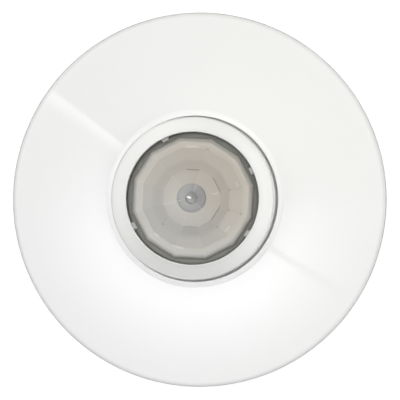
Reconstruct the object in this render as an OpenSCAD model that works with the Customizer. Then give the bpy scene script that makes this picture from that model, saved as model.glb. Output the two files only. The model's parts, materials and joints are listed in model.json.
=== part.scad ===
// Round ceiling motion sensor: mounting plate, twist-off sensor head, twist-off lens ring.
// The flat back lies on z = 0 and the lens points along +Z.

/* [Cover] */
// Outside diameter of the cover
cover_d = 115.6; // [113:0.2:124]
// Wall thickness of the cover
cover_wall = 2; // [1.6:0.1:2.3]
// Shadow gap between the cover's rim and the ceiling
cover_gap = 0.5; // [0.3:0.1:0.6]
// Straight height of the rim
rim_h = 2.4; // [2:0.1:3.4]
// Radius of the rim's rounded edge
rim_round = 1.4; // [0.8:0.1:2]
// Height of the raised lip around the opening
opening_lip_h = 0.5; // [0.2:0.1:0.9]
// Width of the flat top of that lip
opening_lip_w = 0.5; // [0.3:0.1:0.8]
// Width of the slope from the lip to the cone
opening_slope_w = 0.8; // [0.5:0.1:1.2]
// Wall thickness of the neck inside the opening
neck_wall = 2; // [1.4:0.1:2.4]
// Depth from the cone's top to the underside of the neck's ledge
neck_depth = 4; // [3.6:0.1:4.2]
// Thickness of the ledge that holds the lens ring
ledge_t = 1.2; // [1:0.1:1.4]

/* [Bayonet between plate and cover] */
// Thickness of the cover's lugs
lug_t = 1; // [0.8:0.1:1.1]
// Reach of the lugs inwards from the rim's wall
lug_reach = 5.1; // [4.6:0.1:5.6]
// Angle that one lug spans
lug_angle = 22; // [16:1:26]
// Reach of the plate's lips over the lugs
lip_overlap = 2.3; // [1.6:0.1:2.6]

/* [Mounting plate] */
// Thickness of the mounting plate
plate_t = 3; // [2.8:0.1:4]
// Diameter of the wire hole
wire_hole_d = 30; // [29:0.5:34]
// Distance between the two box screws, midway between the two common boxes
box_spacing = 86.1; // [80:0.1:86.4]
// Length of a box screw slot
box_slot_l = 8; // [6:0.2:8.4]
// Width of a box screw slot
box_slot_w = 4.6; // [3.6:0.1:5]
// Plate left under a screw's head
screw_seat_t = 1.4; // [1:0.1:1.8]
// Width of the sunk seat for a screw's head
screw_seat_w = 8; // [7.6:0.1:8.4]
// Distance between the two surface screws
surface_spacing = 70; // [60:0.5:76]
// Diameter of a surface screw hole
surface_hole_d = 4.2; // [3.6:0.1:5]
// Height of the plate's ribs
rib_h = 0.9; // [0.5:0.1:1.1]
// Thickness of the plate's ribs
rib_t = 1.4; // [1:0.1:2]

/* [Back housing] */
// Room between the plate and the housing's floor
head_gap = 1.6; // [1.4:0.1:2.4]
// Thickness of the housing's floor
floor_t = 1.6; // [1.4:0.1:2]
// Inside diameter of the wire well
well_d = 28; // [27:0.5:28.4]
// Wall thickness of the wire well
well_wall = 1.4; // [1:0.1:1.6]
// Diameter of a standoff under the board
standoff_d = 5.6; // [4.8:0.1:6.4]
// Distance from the board's edge to the middle of a standoff
standoff_inset = 5; // [4:0.1:6]
// Diameter of a cover boss
boss_d = 6.4; // [5.6:0.1:6.8]
// Height of the housing's pads under the cover's bosses
pad_h = 1.2; // [1:0.1:1.4]

/* [Screws] */
// Diameter of a housing screw's shank
housing_screw_d = 2.9; // [2.2:0.1:3.1]
// Length of a housing screw's shank
housing_screw_l = 4.6; // [3.6:0.1:4.8]
// Diameter of a housing screw's head
housing_head_d = 5.5; // [4.8:0.1:5.8]
// Height of a housing screw's head
housing_head_h = 1.15; // [0.9:0.05:1.2]
// Diameter of a board screw's shank
board_screw_d = 2.2; // [1.8:0.1:2.4]
// Length of a board screw's shank
board_screw_l = 4.6; // [3.6:0.1:4.8]
// Diameter of a board screw's head
board_head_d = 4.2; // [3.6:0.1:4.6]
// Height of a board screw's head
board_head_h = 1.4; // [1:0.1:1.8]

/* [Circuit board] */
// Diameter of the circuit board
board_d = 72; // [70:0.5:73]
// Thickness of the circuit board
board_t = 1.6; // [1.2:0.1:2]
// Room under the board for pin ends
board_gap = 2.2; // [2:0.1:2.8]
// Room from the board to the top of the cover's cone
board_room = 12.4; // [12.2:0.1:14]
// Length that pins stand out past the board
pin_tail = 1; // [0.7:0.1:1.2]

/* [Lens ring] */
// Outside diameter of the lens ring at the cover
ring_d = 49.6; // [48.8:0.1:52]
// Taper of the lens ring, per side
ring_draft = 0.8; // [0.3:0.1:1.2]
// Height of the ring's crown above the cone's top
ring_rise = 13.4; // [12.4:0.1:15]
// Step in from the ring's outside to its skirt
skirt_step = 1.4; // [1.2:0.1:1.6]
// Wall thickness of the skirt
skirt_wall = 1.2; // [1:0.1:1.4]
// Width of the shelf over the gasket
shelf_w = 0.8; // [0.6:0.1:1]
// Reach of the ring's inner lip over the slot
lip_reach = 1.98; // [1.6:0.02:2.3]
// Rounding on the inner edge of the ring
ring_lip_round = 1.3; // [0.8:0.1:1.6]
// Rounding on the outer shoulder of the ring
ring_shoulder_round = 1.8; // [1:0.1:2.2]
// Fall of the ring's top towards its shoulder, in degrees
ring_top_fall = 12; // [6:1:16]
// Height of the ring's lugs
ring_lug_h = 1.4; // [1.1:0.1:1.5]
// Angle that one of the ring's lugs spans
ring_lug_angle = 18; // [12:1:19]
// Twist that frees the lens ring
ring_twist = 24; // [22:1:30]
// Width of a centring tab
tab_w = 2.3; // [1.6:0.1:3]
// Height of a centring tab
tab_h = 1.1; // [0.8:0.1:1.3]
// Reach of a centring tab inwards from the ring's opening
tab_reach = 1.4; // [0.8:0.1:1.45]

/* [Lens] */
// Height of the lens above the ring's crown
lens_rise = 3.6; // [3:0.1:4.6]
// Wall thickness of the lens
lens_wall = 0.8; // [0.6:0.1:1]
// Gap between the ring's inner lip and the corners of the lens
lens_side_gap = 1.52; // [1.46:0.02:2.1]
// Drop from the top of the lens to its corners
lens_drop = 5.2; // [4.4:0.1:5.6]
// Thickness of the lens flange
flange_t = 0.6; // [0.5:0.1:0.8]
// Diameter of the dimple at the middle of the lens
dimple_d = 3.4; // [2.4:0.1:4]
// Depth of that dimple
dimple_depth = 0.4; // [0.2:0.05:0.5]
// Thickness of the foam gasket
gasket_t = 0.6; // [0.4:0.1:0.8]
// Height of the clamp ring under the lens
retainer_h = 1.9; // [1.7:0.1:2.4]

/* [Heat sensor] */
// Height of the holder that lifts the heat sensor
holder_h = 11.6; // [10:0.1:12]
// Diameter of the holder
holder_d = 10.8; // [9.8:0.1:11.2]
// Diameter of the sensor's base
header_d = 9.2; // [8.8:0.1:9.6]
// Diameter of the sensor's can
can_d = 8.2; // [7.8:0.1:8.4]
// Height of the sensor's can
can_h = 3.9; // [3.7:0.1:4.4]
// Length and width of the sensor's window
window_size = [4, 3]; // [2:0.1:4.4]
// Diameter of the circle that the three leads stand on
lead_circle_d = 5.08; // [4.8:0.02:5.4]

/* [Relay and power] */
// Length of the relay
relay_l = 14; // [12:0.1:14.6]
// Width of the relay
relay_w = 9; // [7.6:0.1:9.6]
// Height of the relay
relay_h = 5; // [4.6:0.1:6]
// Diameter of the large capacitor
big_cap_d = 8; // [6.3:0.1:8.4]
// Diameter of the small capacitors
small_cap_d = 6.3; // [5:0.1:6.6]
// Height of the flat capacitors
cap_h = 6; // [5:0.1:6]
// Diameter of the tall capacitor
tall_cap_d = 5; // [4:0.1:5.2]
// Height of the tall capacitor
tall_cap_h = 11; // [9:0.1:11.5]

/* [Terminal block] */
// Distance between two wire terminals
terminal_pitch = 3.81; // [3.5:0.01:4]
// Number of wire terminals
terminal_count = 3; // [2, 3]
// Depth of the terminal block
terminal_depth = 7.3; // [7:0.1:7.6]
// Height of the terminal block
terminal_h = 7.5; // [7.2:0.1:7.6]
// Diameter of a wire entry
wire_entry_d = 2.5; // [2:0.1:2.7]

/* [Settings] */
// Side of the square switch body
switch_side = 6; // [5.4:0.1:6.6]
// Height of the switch body
switch_h = 3.5; // [3:0.1:4]
// Diameter of the button's stem
button_stem_d = 3.4; // [2.6:0.1:3.8]
// Diameter of the button's cap
button_cap_d = 5.2; // [4.4:0.1:5.6]
// Travel of the button
button_travel = 0.3; // [0.2:0.05:0.4]
// Side of a trimmer body
trimmer_side = 6.4; // [6:0.1:6.6]
// Height of a trimmer body
trimmer_h = 3.6; // [3:0.1:4]
// Diameter of a trimmer's dial
dial_d = 4.8; // [4:0.1:5]

/* [Clearances] */
// Running gap between parts that turn on each other
run_gap = 0.3; // [0.2:0.05:0.35]
// Side gap between the plate and the cover's lugs
side_gap = 0.5; // [0.4:0.05:0.7]
// Gap around a part that seats in another
seat_gap = 0.2; // [0.1:0.05:0.25]
// Gap around a shank in its drilled hole
bore_gap = 0.05; // [0.03:0.01:0.1]

/* [Hidden] */
$fn = 96;

// Overlap that lets a cut run clean through a face
over = 1;

// Heights, from the ceiling up
floor_z = plate_t + head_gap;
floor_top_z = floor_z + floor_t;
board_z = floor_top_z + board_gap;
board_top_z = board_z + board_t;
cone_top_z = board_top_z + board_room;
crown_z = cone_top_z + ring_rise;
total_h = crown_z + lens_rise;

// Cover
cover_r = cover_d / 2;
rim_in_r = cover_r - cover_wall;
rim_top_z = cover_gap + rim_h;
rim_centre_r = cover_r - rim_round;
bore_r = ring_d / 2 + run_gap;
neck_r = bore_r + neck_wall;
opening_lip_r = bore_r + opening_lip_w;
opening_lip_z = cone_top_z + opening_lip_h;
cone_top_r = opening_lip_r + opening_slope_w;
cone_run = rim_centre_r - cone_top_r;
cone_fall = cone_top_z - rim_top_z;
// The cone runs from its top down to a tangent on the rim's rounded edge
cone_slope = atan2(cone_fall, cone_run) - asin(rim_round / norm([cone_run, cone_fall]));
function cone_z(r) = cone_top_z + (cone_top_r - r) * tan(cone_slope);
function cone_in_z(r) = cone_z(r) - cover_wall / cos(cone_slope);
function cone_in_r(z) = cone_top_r + (cone_top_z - cover_wall / cos(cone_slope) - z) / tan(cone_slope);
ledge_z = cone_top_z - neck_depth;
ledge_top_z = ledge_z + ledge_t;
rim_edge_break = 0.3;

// Bayonet: three lugs on the cover slide under three lips on the plate
lug_places = [30, 150, 270];
lug_in_r = rim_in_r - lug_reach;
lug_top_z = cover_gap + lug_t;
plate_r = lug_in_r - side_gap;
lip_r = lug_in_r + lip_overlap;
lip_z = lug_top_z + run_gap;
lip_run_on = 1;
lip_end = lug_angle / 2 + lip_run_on;
// A stop at each lip's other end leaves the running gap to the lug
stop_end = -lug_angle / 2 - run_gap / plate_r * 180 / PI;
stop_angle = 2;
stop_start = stop_end - stop_angle;
stop_bite = 0.1;

// Mounting plate
wire_hole_r = wire_hole_d / 2;
wire_rim_w = 2;
rib_in_r = wire_hole_r + wire_rim_w;
rib_count = 12;
edge_wall = 1.2;
rib_root = 0.5;
rib_step = 0.2;
wall_top_z = plate_t + rib_h;

// Back housing
well_r = well_d / 2;
well_wall_r = well_r + well_wall;
well_top_z = board_z - seat_gap;
boss_r = boss_d / 2;
board_r = board_d / 2;
standoff_pos_r = board_r - standoff_inset;
boss_room = 3.3;
boss_pos_r = board_r + boss_r + boss_room;
boss_z = floor_top_z + pad_h;
pad_margin = 0.4;
pad_r = boss_r + pad_margin;
boss_places = [45, 135, 225, 315];
standoff_places = [0, 90, 180, 270];
housing_head_z = floor_z + bore_gap;
screw_end_room = 0.4;
housing_head_top_z = housing_head_z + housing_head_h;
boss_hole_depth = housing_head_top_z + housing_screw_l + screw_end_room - boss_z;
recess_depth = housing_head_top_z - floor_z;
screw_drive = 0.6;

// Lens ring
ring_r = ring_d / 2;
ring_top_r = ring_r - ring_draft;
skirt_r = ring_r - skirt_step;
flange_bore_r = skirt_r - skirt_wall;
slot_r = flange_bore_r - shelf_w;
opening_r = slot_r - lip_reach;
ledge_r = skirt_r + run_gap;
ring_lug_r = ring_r;
ring_seat_z = ledge_top_z + run_gap;
skirt_z = ledge_z - run_gap - ring_lug_h;
ring_lug_places = [0, 120, 240];
ring_lug_root = 0.5;
lug_notch_margin = 2;
crown_r = opening_r + ring_lip_round;
shoulder_centre_r = ring_top_r - ring_shoulder_round;
shoulder_end_r = shoulder_centre_r + ring_shoulder_round * sin(ring_top_fall);
shoulder_centre_z = crown_z - (shoulder_end_r - crown_r) * tan(ring_top_fall)
    - ring_shoulder_round * cos(ring_top_fall);
lip_land = 0.5;
lip_slope_h = 1.4;
slot_h = 3.6;
lip_bottom_z = crown_z - ring_lip_round - lip_land;
slot_top_z = lip_bottom_z - lip_slope_h;
shelf_z = slot_top_z - slot_h;
tab_places = [25, 115, 205, 327];
tab_rise = 0.3;
tab_z = lip_bottom_z + tab_rise - tab_h;

// Lens stack, hung under the ring's shelf
gasket_z = shelf_z - gasket_t;
flange_z = gasket_z - flange_t;
retainer_z = flange_z - retainer_h;
flange_r = flange_bore_r - seat_gap;
lens_r = opening_r - lens_side_gap;
lens_flare = 0.7;
lens_foot_r = lens_r + lens_flare;
lens_turn = 12;
lens_sides = 12;
gasket_in_r = lens_foot_r + 0.3;
retainer_in_r = lens_foot_r + seat_gap;
retainer_r = flange_bore_r - 0.15;
barb_h = 0.8;
barb_z = retainer_z + seat_gap;
barb_gap = 0.1;
barb_root = 0.5;
barb_r = flange_bore_r + 0.5;
barb_angle = 14;
groove_r = barb_r + seat_gap;
// Radius and drop of each ring of corners, as shares of the whole, so that the outer zone is steepest
lens_zones = [[0.238, 0.03], [0.478, 0.17], [0.63, 0.31], [0.844, 0.58], [1, 1]];

// Heat sensor
header_t = 0.7;
holder_flange = 1;
holder_flange_r = holder_d / 2 + holder_flange;
header_z = board_top_z + holder_h;
can_z = header_z + header_t;
can_top_z = can_z + can_h;
can_wall = 0.25;
lead_r = 0.225;
lead_places = [30, 150, 270];
window_t = 0.4;
crystal_size = [3.4, 2.4, 0.4];
crystal_post = [2, 1.6, 1.7];
window_lap = 0.4;
holder_flange_h = 1.2;

// Parts that stand on pins: place, pitch of the leads
led_place = [8.9, 3.4];
led_pitch = 2.54;
led_r = 1.5;
led_seat_h = 5;
led_seat_z = board_top_z + led_seat_h;
led_h = 4.6;
led_rim = 0.4;
led_rim_h = 1;
light_place = [-10, 3];
light_pitch = 3.4;
light_r = 2.55;
light_seat_z = board_top_z + led_seat_h;
light_h = 2;
tall_cap_place = [0, 12.4];
tall_cap_pitch = 2;
pin_r = 0.25;

// Settings
switch_place = [0, -13.6];
time_place = [-10.6, -9.6];
light_dial_place = [10.6, -9.6];
trimmer_places = [time_place, light_dial_place];
button_well_depth = 1.6;
button_stem_z = board_top_z + switch_h - button_well_depth + button_travel + seat_gap / 2;
button_cap_z = board_top_z + switch_h + button_travel + seat_gap * 2;
button_cap_h = 2.2;
dial_well_depth = 2.2;
dial_z = board_top_z + trimmer_h - dial_well_depth + seat_gap / 2;
dial_rise = 0.2;
dial_h = dial_well_depth + dial_rise;
dial_drive_depth = 0.8;
drive_share = 0.6;
side_tab = [1, 0.8, 0.3];

// Relay, standing just inside a board screw
part_gap = 0.6;
relay_x = board_head_d / 2 + part_gap + relay_w / 2 - standoff_pos_r;
relay_pin_pitch = relay_l / 5;
relay_pin_inset = 1;
relay_pin_rows = relay_w - 2 * relay_pin_inset;
relay_pin_r = 0.3;

// Terminal block, hung under the board inside the wire well
terminal_end_wall = 0.485;
terminal_l = terminal_count * terminal_pitch + 2 * terminal_end_wall;
terminal_y = 3.2;
terminal_z = board_z - terminal_h;
terminal_screw_y = terminal_y + 3;
terminal_pin_y = terminal_screw_y + 2;
terminal_xs = [for (i = [0:terminal_count - 1]) (i - (terminal_count - 1) / 2) * terminal_pitch];
terminal_pin_r = 0.45;
clamp_side_wall = 1.1;
clamp_w = terminal_pitch - clamp_side_wall;
clamp_l = 4;
clamp_h = 2.7;
clamp_depth = 3.2;
clamp_z = terminal_z + clamp_depth;
clamp_front_wall = 1;
clamp_y = terminal_y + clamp_front_wall;
clamp_wall = 0.35;
well_side_wall = 0.8;
screw_well_r = (terminal_pitch - well_side_wall) / 2;
terminal_head_r = screw_well_r - 2 * bore_gap;
terminal_head_h = 1.3;
terminal_head_inset = 0.2;
terminal_head_z = terminal_z + terminal_head_inset;
terminal_shank_r = 0.8;
terminal_slot_w = 0.5;
terminal_slot_depth = 0.6;

// Chips and small parts, placed by their angle and their distance in from the board's edge
function board_place(angle, inset) = (board_r - inset) * [cos(angle), sin(angle)];
chip_h = 1.5;
chip_l = 8.6;
chip_w = 3.9;
chip_rise = 0.1;
chip_leads_n = 7;
chip_pitch = 1.27;
chip_lead_w = 0.4;
chip_lead_t = 0.2;
chip_lead_out = 0.5;
chip_lead_foot = 0.9;
controller_place = board_place(23.5, 10.9);
amplifier_place = board_place(-19.2, 11.6);
regulator_place = board_place(-57.5, 9.9);
regulator_size = [6.5, 3.5, 1.7];
regulator_pitch = 2.3;
regulator_lead = [0.8, 1.5, 0.25];
regulator_tab_w = 3.2;
cap_base_h = 1;
cap_base_margin = 0.3;
big_cap_place = board_place(123.7, 10.8);
small_cap_places = [board_place(85.2, 11.9), board_place(61.4, 10.9)];
diode_size = [4.3, 2.6, 2.2];
diode_inset = standoff_inset + board_head_d / 2 + part_gap + diode_size[1] / 2;
diode_places = [for (angle = [236, 252, 268]) board_place(angle, diode_inset)];
edge_row_inset = 4.5;
resistor_size = [1.6, 0.8, 0.5];
resistor_places = [for (i = [0:9]) board_place(201 + 5 * i, edge_row_inset)];
capacitor_size = [2, 1.25, 0.9];
capacitor_places = [for (i = [0:6]) board_place(-75 + 9 * i, edge_row_inset)];

// ---- Shared shapes ----

function arc(c, r, from, to, n) =
    [for (i = [0:n]) let (a = from + (to - from) * i / n) [c[0] + r * cos(a), c[1] + r * sin(a)]];

module disc(r, z, h) translate([0, 0, z]) cylinder(r = r, h = h);

module tube(r_in, r_out, z, h) difference() {
    disc(r_out, z, h);
    disc(r_in, z - over, h + 2 * over);
}

module wedge(r_in, r_out, z, h, from, to) rotate([0, 0, from])
    translate([0, 0, z]) rotate_extrude(angle = to - from) translate([r_in, 0]) square([r_out - r_in, h]);

module sector(r_in, r_out, z, h, angle) wedge(r_in, r_out, z, h, -angle / 2, angle / 2);

module around(places, r) for (a = places) rotate([0, 0, a]) translate([r, 0, 0]) children();

module box(at, size) translate([at[0] - size[0] / 2, at[1] - size[1] / 2, at[2]]) cube(size);

module at(place) translate([place[0], place[1], 0]) children();

module slot_hole(length, width, z, h) translate([0, 0, z]) linear_extrude(h) {
    square([length - width, width], center = true);
    for (side = [-1, 1]) translate([side * (length - width) / 2, 0]) circle(d = width);
}

module cross_drive(size, z, depth) {
    box([0, 0, z], [size, screw_drive, depth]);
    box([0, 0, z], [screw_drive, size, depth]);
}

module pin_pair(pitch, r, z, h) for (side = [-1, 1]) translate([side * pitch / 2, 0, 0]) disc(r, z, h);

// ---- Mounting plate ----

module mounting_plate() color("whitesmoke") difference() {
    union() {
        rotate_extrude() polygon([
            [wire_hole_r, 0], [plate_r, 0], [plate_r, wall_top_z], [plate_r - edge_wall, wall_top_z],
            [plate_r - edge_wall, plate_t], [rib_in_r, plate_t], [rib_in_r, wall_top_z],
            [wire_hole_r, wall_top_z]]);
        for (a = lug_places) rotate([0, 0, a]) {
            wedge(plate_r - edge_wall / 2, lip_r, lip_z, plate_t - lip_z, stop_start, lip_end);
            wedge(plate_r - edge_wall / 3, lip_r - run_gap, cover_gap, lip_z - cover_gap + over / 2,
                stop_start + stop_bite, stop_end);
        }
        for (i = [0:rib_count - 1]) rotate([0, 0, (i + 0.5) * 360 / rib_count])
            translate([rib_in_r - rib_root, -rib_t / 2, plate_t - over])
                cube([plate_r - edge_wall - rib_in_r + 2 * rib_root, rib_t, rib_h - rib_step + over]);
    }
    around([0, 180], box_spacing / 2) {
        slot_hole(box_slot_l, box_slot_w, -over, plate_t + 2 * over);
        slot_hole(box_slot_l - box_slot_w + screw_seat_w, screw_seat_w, screw_seat_t, plate_t + rib_h);
    }
    around([90, 270], surface_spacing / 2) {
        disc(surface_hole_d / 2, -over, plate_t + 2 * over);
        disc(screw_seat_w / 2, screw_seat_t, plate_t + rib_h);
    }
}

// ---- Sensor head: shells ----

module cover_shell() rotate_extrude() polygon(concat(
    [[rim_in_r, cover_gap], [cover_r - rim_edge_break, cover_gap], [cover_r, cover_gap + rim_edge_break]],
    arc([rim_centre_r, rim_top_z], rim_round, 0, 90 - cone_slope, 8),
    [[cone_top_r, cone_top_z], [opening_lip_r + opening_slope_w / 3, opening_lip_z - opening_lip_h / 3],
     [opening_lip_r, opening_lip_z], [bore_r, opening_lip_z], [bore_r, ledge_top_z],
     [ledge_r, ledge_top_z], [ledge_r, ledge_z], [neck_r, ledge_z], [neck_r, cone_in_z(neck_r)],
     [rim_in_r, cone_in_z(rim_in_r)]]));

// Space under the middle of the cover's wall, which the bosses are cut to
module under_cover() rotate_extrude() polygon([
    [0, 0], [rim_in_r, 0], [rim_in_r, cone_in_z(rim_in_r) + cover_wall / 2],
    [neck_r, cone_in_z(neck_r) + cover_wall / 2], [0, cone_in_z(neck_r) + cover_wall / 2]]);

module front_cover() color("white") difference() {
    union() {
        cover_shell();
        for (a = lug_places) rotate([0, 0, a])
            sector(lug_in_r, rim_in_r + cover_wall / 2, cover_gap, lug_t, lug_angle);
        intersection() {
            around(boss_places, boss_pos_r) disc(boss_r, boss_z, cone_top_z - boss_z);
            under_cover();
        }
    }
    around(boss_places, boss_pos_r)
        disc(housing_screw_d / 2 + bore_gap, boss_z - over, boss_hole_depth + over);
    for (a = ring_lug_places) rotate([0, 0, a + ring_twist])
        sector(ledge_r - over, bore_r, ledge_z - over, ledge_t + over, ring_lug_angle + 2 * lug_notch_margin);
}

module back_housing() color("whitesmoke") difference() {
    union() {
        rotate_extrude() polygon([
            [well_r, floor_z], [cone_in_r(floor_z) - seat_gap, floor_z],
            [cone_in_r(floor_top_z) - seat_gap, floor_top_z], [well_wall_r, floor_top_z],
            [well_wall_r, well_top_z], [well_r, well_top_z]]);
        around(boss_places, boss_pos_r) disc(pad_r, floor_z, boss_z - floor_z);
        around(standoff_places, standoff_pos_r) disc(standoff_d / 2, floor_z, board_z - floor_z);
    }
    around(boss_places, boss_pos_r) {
        disc(housing_head_d / 2 + 2 * bore_gap, floor_z - over, recess_depth + over);
        disc(housing_screw_d / 2 + 3 * bore_gap, floor_z - over, boss_z - floor_z + 2 * over);
    }
    around(standoff_places, standoff_pos_r)
        disc(board_screw_d / 2 + bore_gap, board_top_z - board_screw_l - screw_end_room / 2, board_screw_l);
}

module housing_screws() color("silver") around(boss_places, boss_pos_r) difference() {
    union() {
        disc(housing_head_d / 2, housing_head_z, housing_head_h);
        disc(housing_screw_d / 2, housing_head_z, housing_head_h + housing_screw_l);
    }
    cross_drive(housing_head_d * drive_share, housing_head_z - over, over + housing_head_h * drive_share);
}

// ---- Sensor head: board ----

module board_hole(r) disc(r, board_z - over, board_t + 2 * over);

module board_hole_pair(place, pitch) at(place)
    pin_pair(pitch, pin_r + bore_gap, board_z - over, board_t + 2 * over);

module board_holes() {
    around(standoff_places, standoff_pos_r) board_hole(board_screw_d / 2 + seat_gap);
    around(lead_places, lead_circle_d / 2) board_hole(lead_r + 2 * bore_gap);
    board_hole_pair(led_place, led_pitch);
    board_hole_pair(light_place, light_pitch);
    board_hole_pair(tall_cap_place, tall_cap_pitch);
    relay_pin_places() board_hole(relay_pin_r + bore_gap);
    for (x = terminal_xs) translate([x, terminal_pin_y, 0]) board_hole(terminal_pin_r + bore_gap);
}

module circuit_board() color("seagreen") difference() {
    disc(board_r, board_z, board_t);
    board_holes();
}

module board_screws() color("silver") around(standoff_places, standoff_pos_r) difference() {
    union() {
        disc(board_head_d / 2, board_top_z, board_head_h);
        disc(board_screw_d / 2, board_top_z - board_screw_l, board_screw_l + board_head_h);
    }
    cross_drive(board_head_d * drive_share, board_top_z + board_head_h * (1 - drive_share), board_head_h);
}

// ---- Sensor head: heat sensor ----

module sensor_holder() color("black") difference() {
    union() {
        disc(holder_d / 2, board_top_z, holder_h);
        disc(holder_flange_r, board_top_z, holder_flange_h);
    }
    around(lead_places, lead_circle_d / 2)
        disc(lead_r + 2 * bore_gap, board_top_z - over, holder_h + 2 * over);
}

module heat_sensor_base() color("silver") difference() {
    disc(header_d / 2, header_z, header_t);
    around(lead_places, lead_circle_d / 2) disc(lead_r + bore_gap, header_z - over, header_t + 2 * over);
}

module heat_sensor_can() color("silver") difference() {
    disc(can_d / 2, can_z, can_h);
    disc(can_d / 2 - can_wall, can_z - over, can_h - can_wall + over);
    box([0, 0, can_top_z - over], [window_size[0], window_size[1], 2 * over]);
}

module heat_sensor_window() color("dimgray")
    box([0, 0, can_top_z - can_wall - window_t],
        [window_size[0] + 2 * window_lap, window_size[1] + 2 * window_lap, window_t]);

module heat_sensor_crystal() color("tan") {
    box([0, 0, can_z], crystal_post);
    box([0, 0, can_z + crystal_post[2]], crystal_size);
}

module heat_sensor_leads() color("gold") around(lead_places, lead_circle_d / 2)
    disc(lead_r, board_z - pin_tail, can_z - board_z + pin_tail);

// ---- Sensor head: indicator and light sensor ----

module indicator_led() color("firebrick") at(led_place) {
    disc(led_r + led_rim, led_seat_z, led_rim_h);
    disc(led_r, led_seat_z, led_h - led_r);
    translate([0, 0, led_seat_z + led_h - led_r]) sphere(r = led_r);
}

module indicator_leads() color("silver") at(led_place)
    pin_pair(led_pitch, pin_r, board_z - pin_tail, led_seat_z - board_z + pin_tail);

module light_sensor() color("peru") at(light_place) disc(light_r, light_seat_z, light_h);

module light_sensor_leads() color("silver") at(light_place)
    pin_pair(light_pitch, pin_r, board_z - pin_tail, light_seat_z - board_z + pin_tail);

// ---- Sensor head: settings ----

module side_terminals(place, side, z) color("silver") at(place)
    for (sx = [-1, 1], sy = [-1, 1]) box([sx * (side + side_tab[0]) / 2, sy * side / 4, z], side_tab);

module switch_body() color("dimgray") at(switch_place) difference() {
    box([0, 0, board_top_z], [switch_side, switch_side, switch_h]);
    disc(button_stem_d / 2 + seat_gap, board_top_z + switch_h - button_well_depth, button_well_depth + over);
}

module switch_terminals() side_terminals(switch_place, switch_side, board_top_z);

module setup_button() color("white") at(switch_place) {
    disc(button_stem_d / 2, button_stem_z, button_cap_z - button_stem_z + button_cap_h);
    disc(button_cap_d / 2, button_cap_z, button_cap_h);
}

module trimmer_bodies() color("royalblue") for (place = trimmer_places) at(place) difference() {
    box([0, 0, board_top_z], [trimmer_side, trimmer_side, trimmer_h]);
    disc(dial_d / 2 + seat_gap, board_top_z + trimmer_h - dial_well_depth, dial_well_depth + over);
}

module trimmer_terminals() for (place = trimmer_places)
    side_terminals(place, trimmer_side, board_top_z);

module dial(place) color("white") at(place) difference() {
    disc(dial_d / 2, dial_z, dial_h);
    cross_drive(dial_d * drive_share, dial_z + dial_h - dial_drive_depth, over);
}

module time_dial() dial(time_place);

module light_dial() dial(light_dial_place);

// ---- Sensor head: relay, terminal block ----

module relay_pin_places() for (row = [-1, 1], i = [-2, -1, 1, 2])
    translate([relay_x + row * relay_pin_rows / 2, i * relay_pin_pitch, 0]) children();

module relay_case() color("gold") box([relay_x, 0, board_top_z], [relay_w, relay_l, relay_h]);

module relay_pins() color("silver") relay_pin_places()
    disc(relay_pin_r, board_z - pin_tail, board_t + pin_tail);

module terminal_block() color("green") difference() {
    translate([-terminal_l / 2, terminal_y, terminal_z]) cube([terminal_l, terminal_depth, terminal_h]);
    for (x = terminal_xs) translate([x, 0, 0]) {
        translate([0, terminal_y - over, clamp_z + clamp_h / 2]) rotate([-90, 0, 0])
            cylinder(d = wire_entry_d, h = 2 * over);
        translate([-clamp_w / 2, clamp_y, clamp_z]) cube([clamp_w, clamp_l + seat_gap, clamp_h]);
        translate([0, terminal_screw_y, 0]) {
            disc(screw_well_r, terminal_z - over, terminal_head_h + terminal_head_inset + over);
            disc(terminal_shank_r + 2 * bore_gap, terminal_z - over, clamp_z - terminal_z + 2 * over);
        }
        translate([0, terminal_pin_y, 0])
            disc(terminal_pin_r + bore_gap, clamp_z + clamp_h - over, terminal_h);
    }
}

module terminal_screw() difference() {
    union() {
        disc(terminal_head_r, terminal_head_z, terminal_head_h);
        disc(terminal_shank_r, terminal_head_z, clamp_z - terminal_head_z);
    }
    box([0, 0, terminal_head_z - over], [terminal_pitch, terminal_slot_w, over + terminal_slot_depth]);
}

module terminal_screws() color("silver") for (x = terminal_xs) translate([x, terminal_screw_y, 0])
    terminal_screw();

module terminal_clamps() color("silver") for (x = terminal_xs) difference() {
    box([x, clamp_y + clamp_l / 2, clamp_z], [clamp_w - seat_gap / 2, clamp_l, clamp_h]);
    box([x, clamp_y + clamp_l / 2, clamp_z + clamp_wall],
        [clamp_w - seat_gap / 2 - 2 * clamp_wall, clamp_l + 2 * over, clamp_h - 2 * clamp_wall]);
}

module terminal_pins() color("silver") for (x = terminal_xs) translate([x, terminal_pin_y, 0])
    disc(terminal_pin_r, clamp_z + clamp_h, board_top_z + pin_tail - clamp_z - clamp_h);

// ---- Sensor head: chips and small parts ----

module chip_body(place) at(place) box([0, 0, board_top_z + chip_rise], [chip_w, chip_l, chip_h]);

module chip_leads(place) at(place) for (side = [-1, 1], i = [0:chip_leads_n - 1])
    translate([side * chip_w / 2, (i - (chip_leads_n - 1) / 2) * chip_pitch, 0]) {
        box([side * chip_lead_out / 2, 0, board_top_z + chip_h / 2],
            [chip_lead_out, chip_lead_w, chip_lead_t]);
        box([side * (chip_lead_out - chip_lead_t / 2), 0, board_top_z],
            [chip_lead_t, chip_lead_w, chip_h / 2 + chip_lead_t]);
        box([side * (chip_lead_out + (chip_lead_foot - chip_lead_t) / 2 - chip_lead_t / 2), 0, board_top_z],
            [chip_lead_foot, chip_lead_w, chip_lead_t]);
    }

module controller_chip() color("black") chip_body(controller_place);

module controller_leads() color("silver") chip_leads(controller_place);

module amplifier_chip() color("black") chip_body(amplifier_place);

module amplifier_leads() color("silver") chip_leads(amplifier_place);

module voltage_regulator() color("black") at(regulator_place) box([0, 0, board_top_z], regulator_size);

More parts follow.
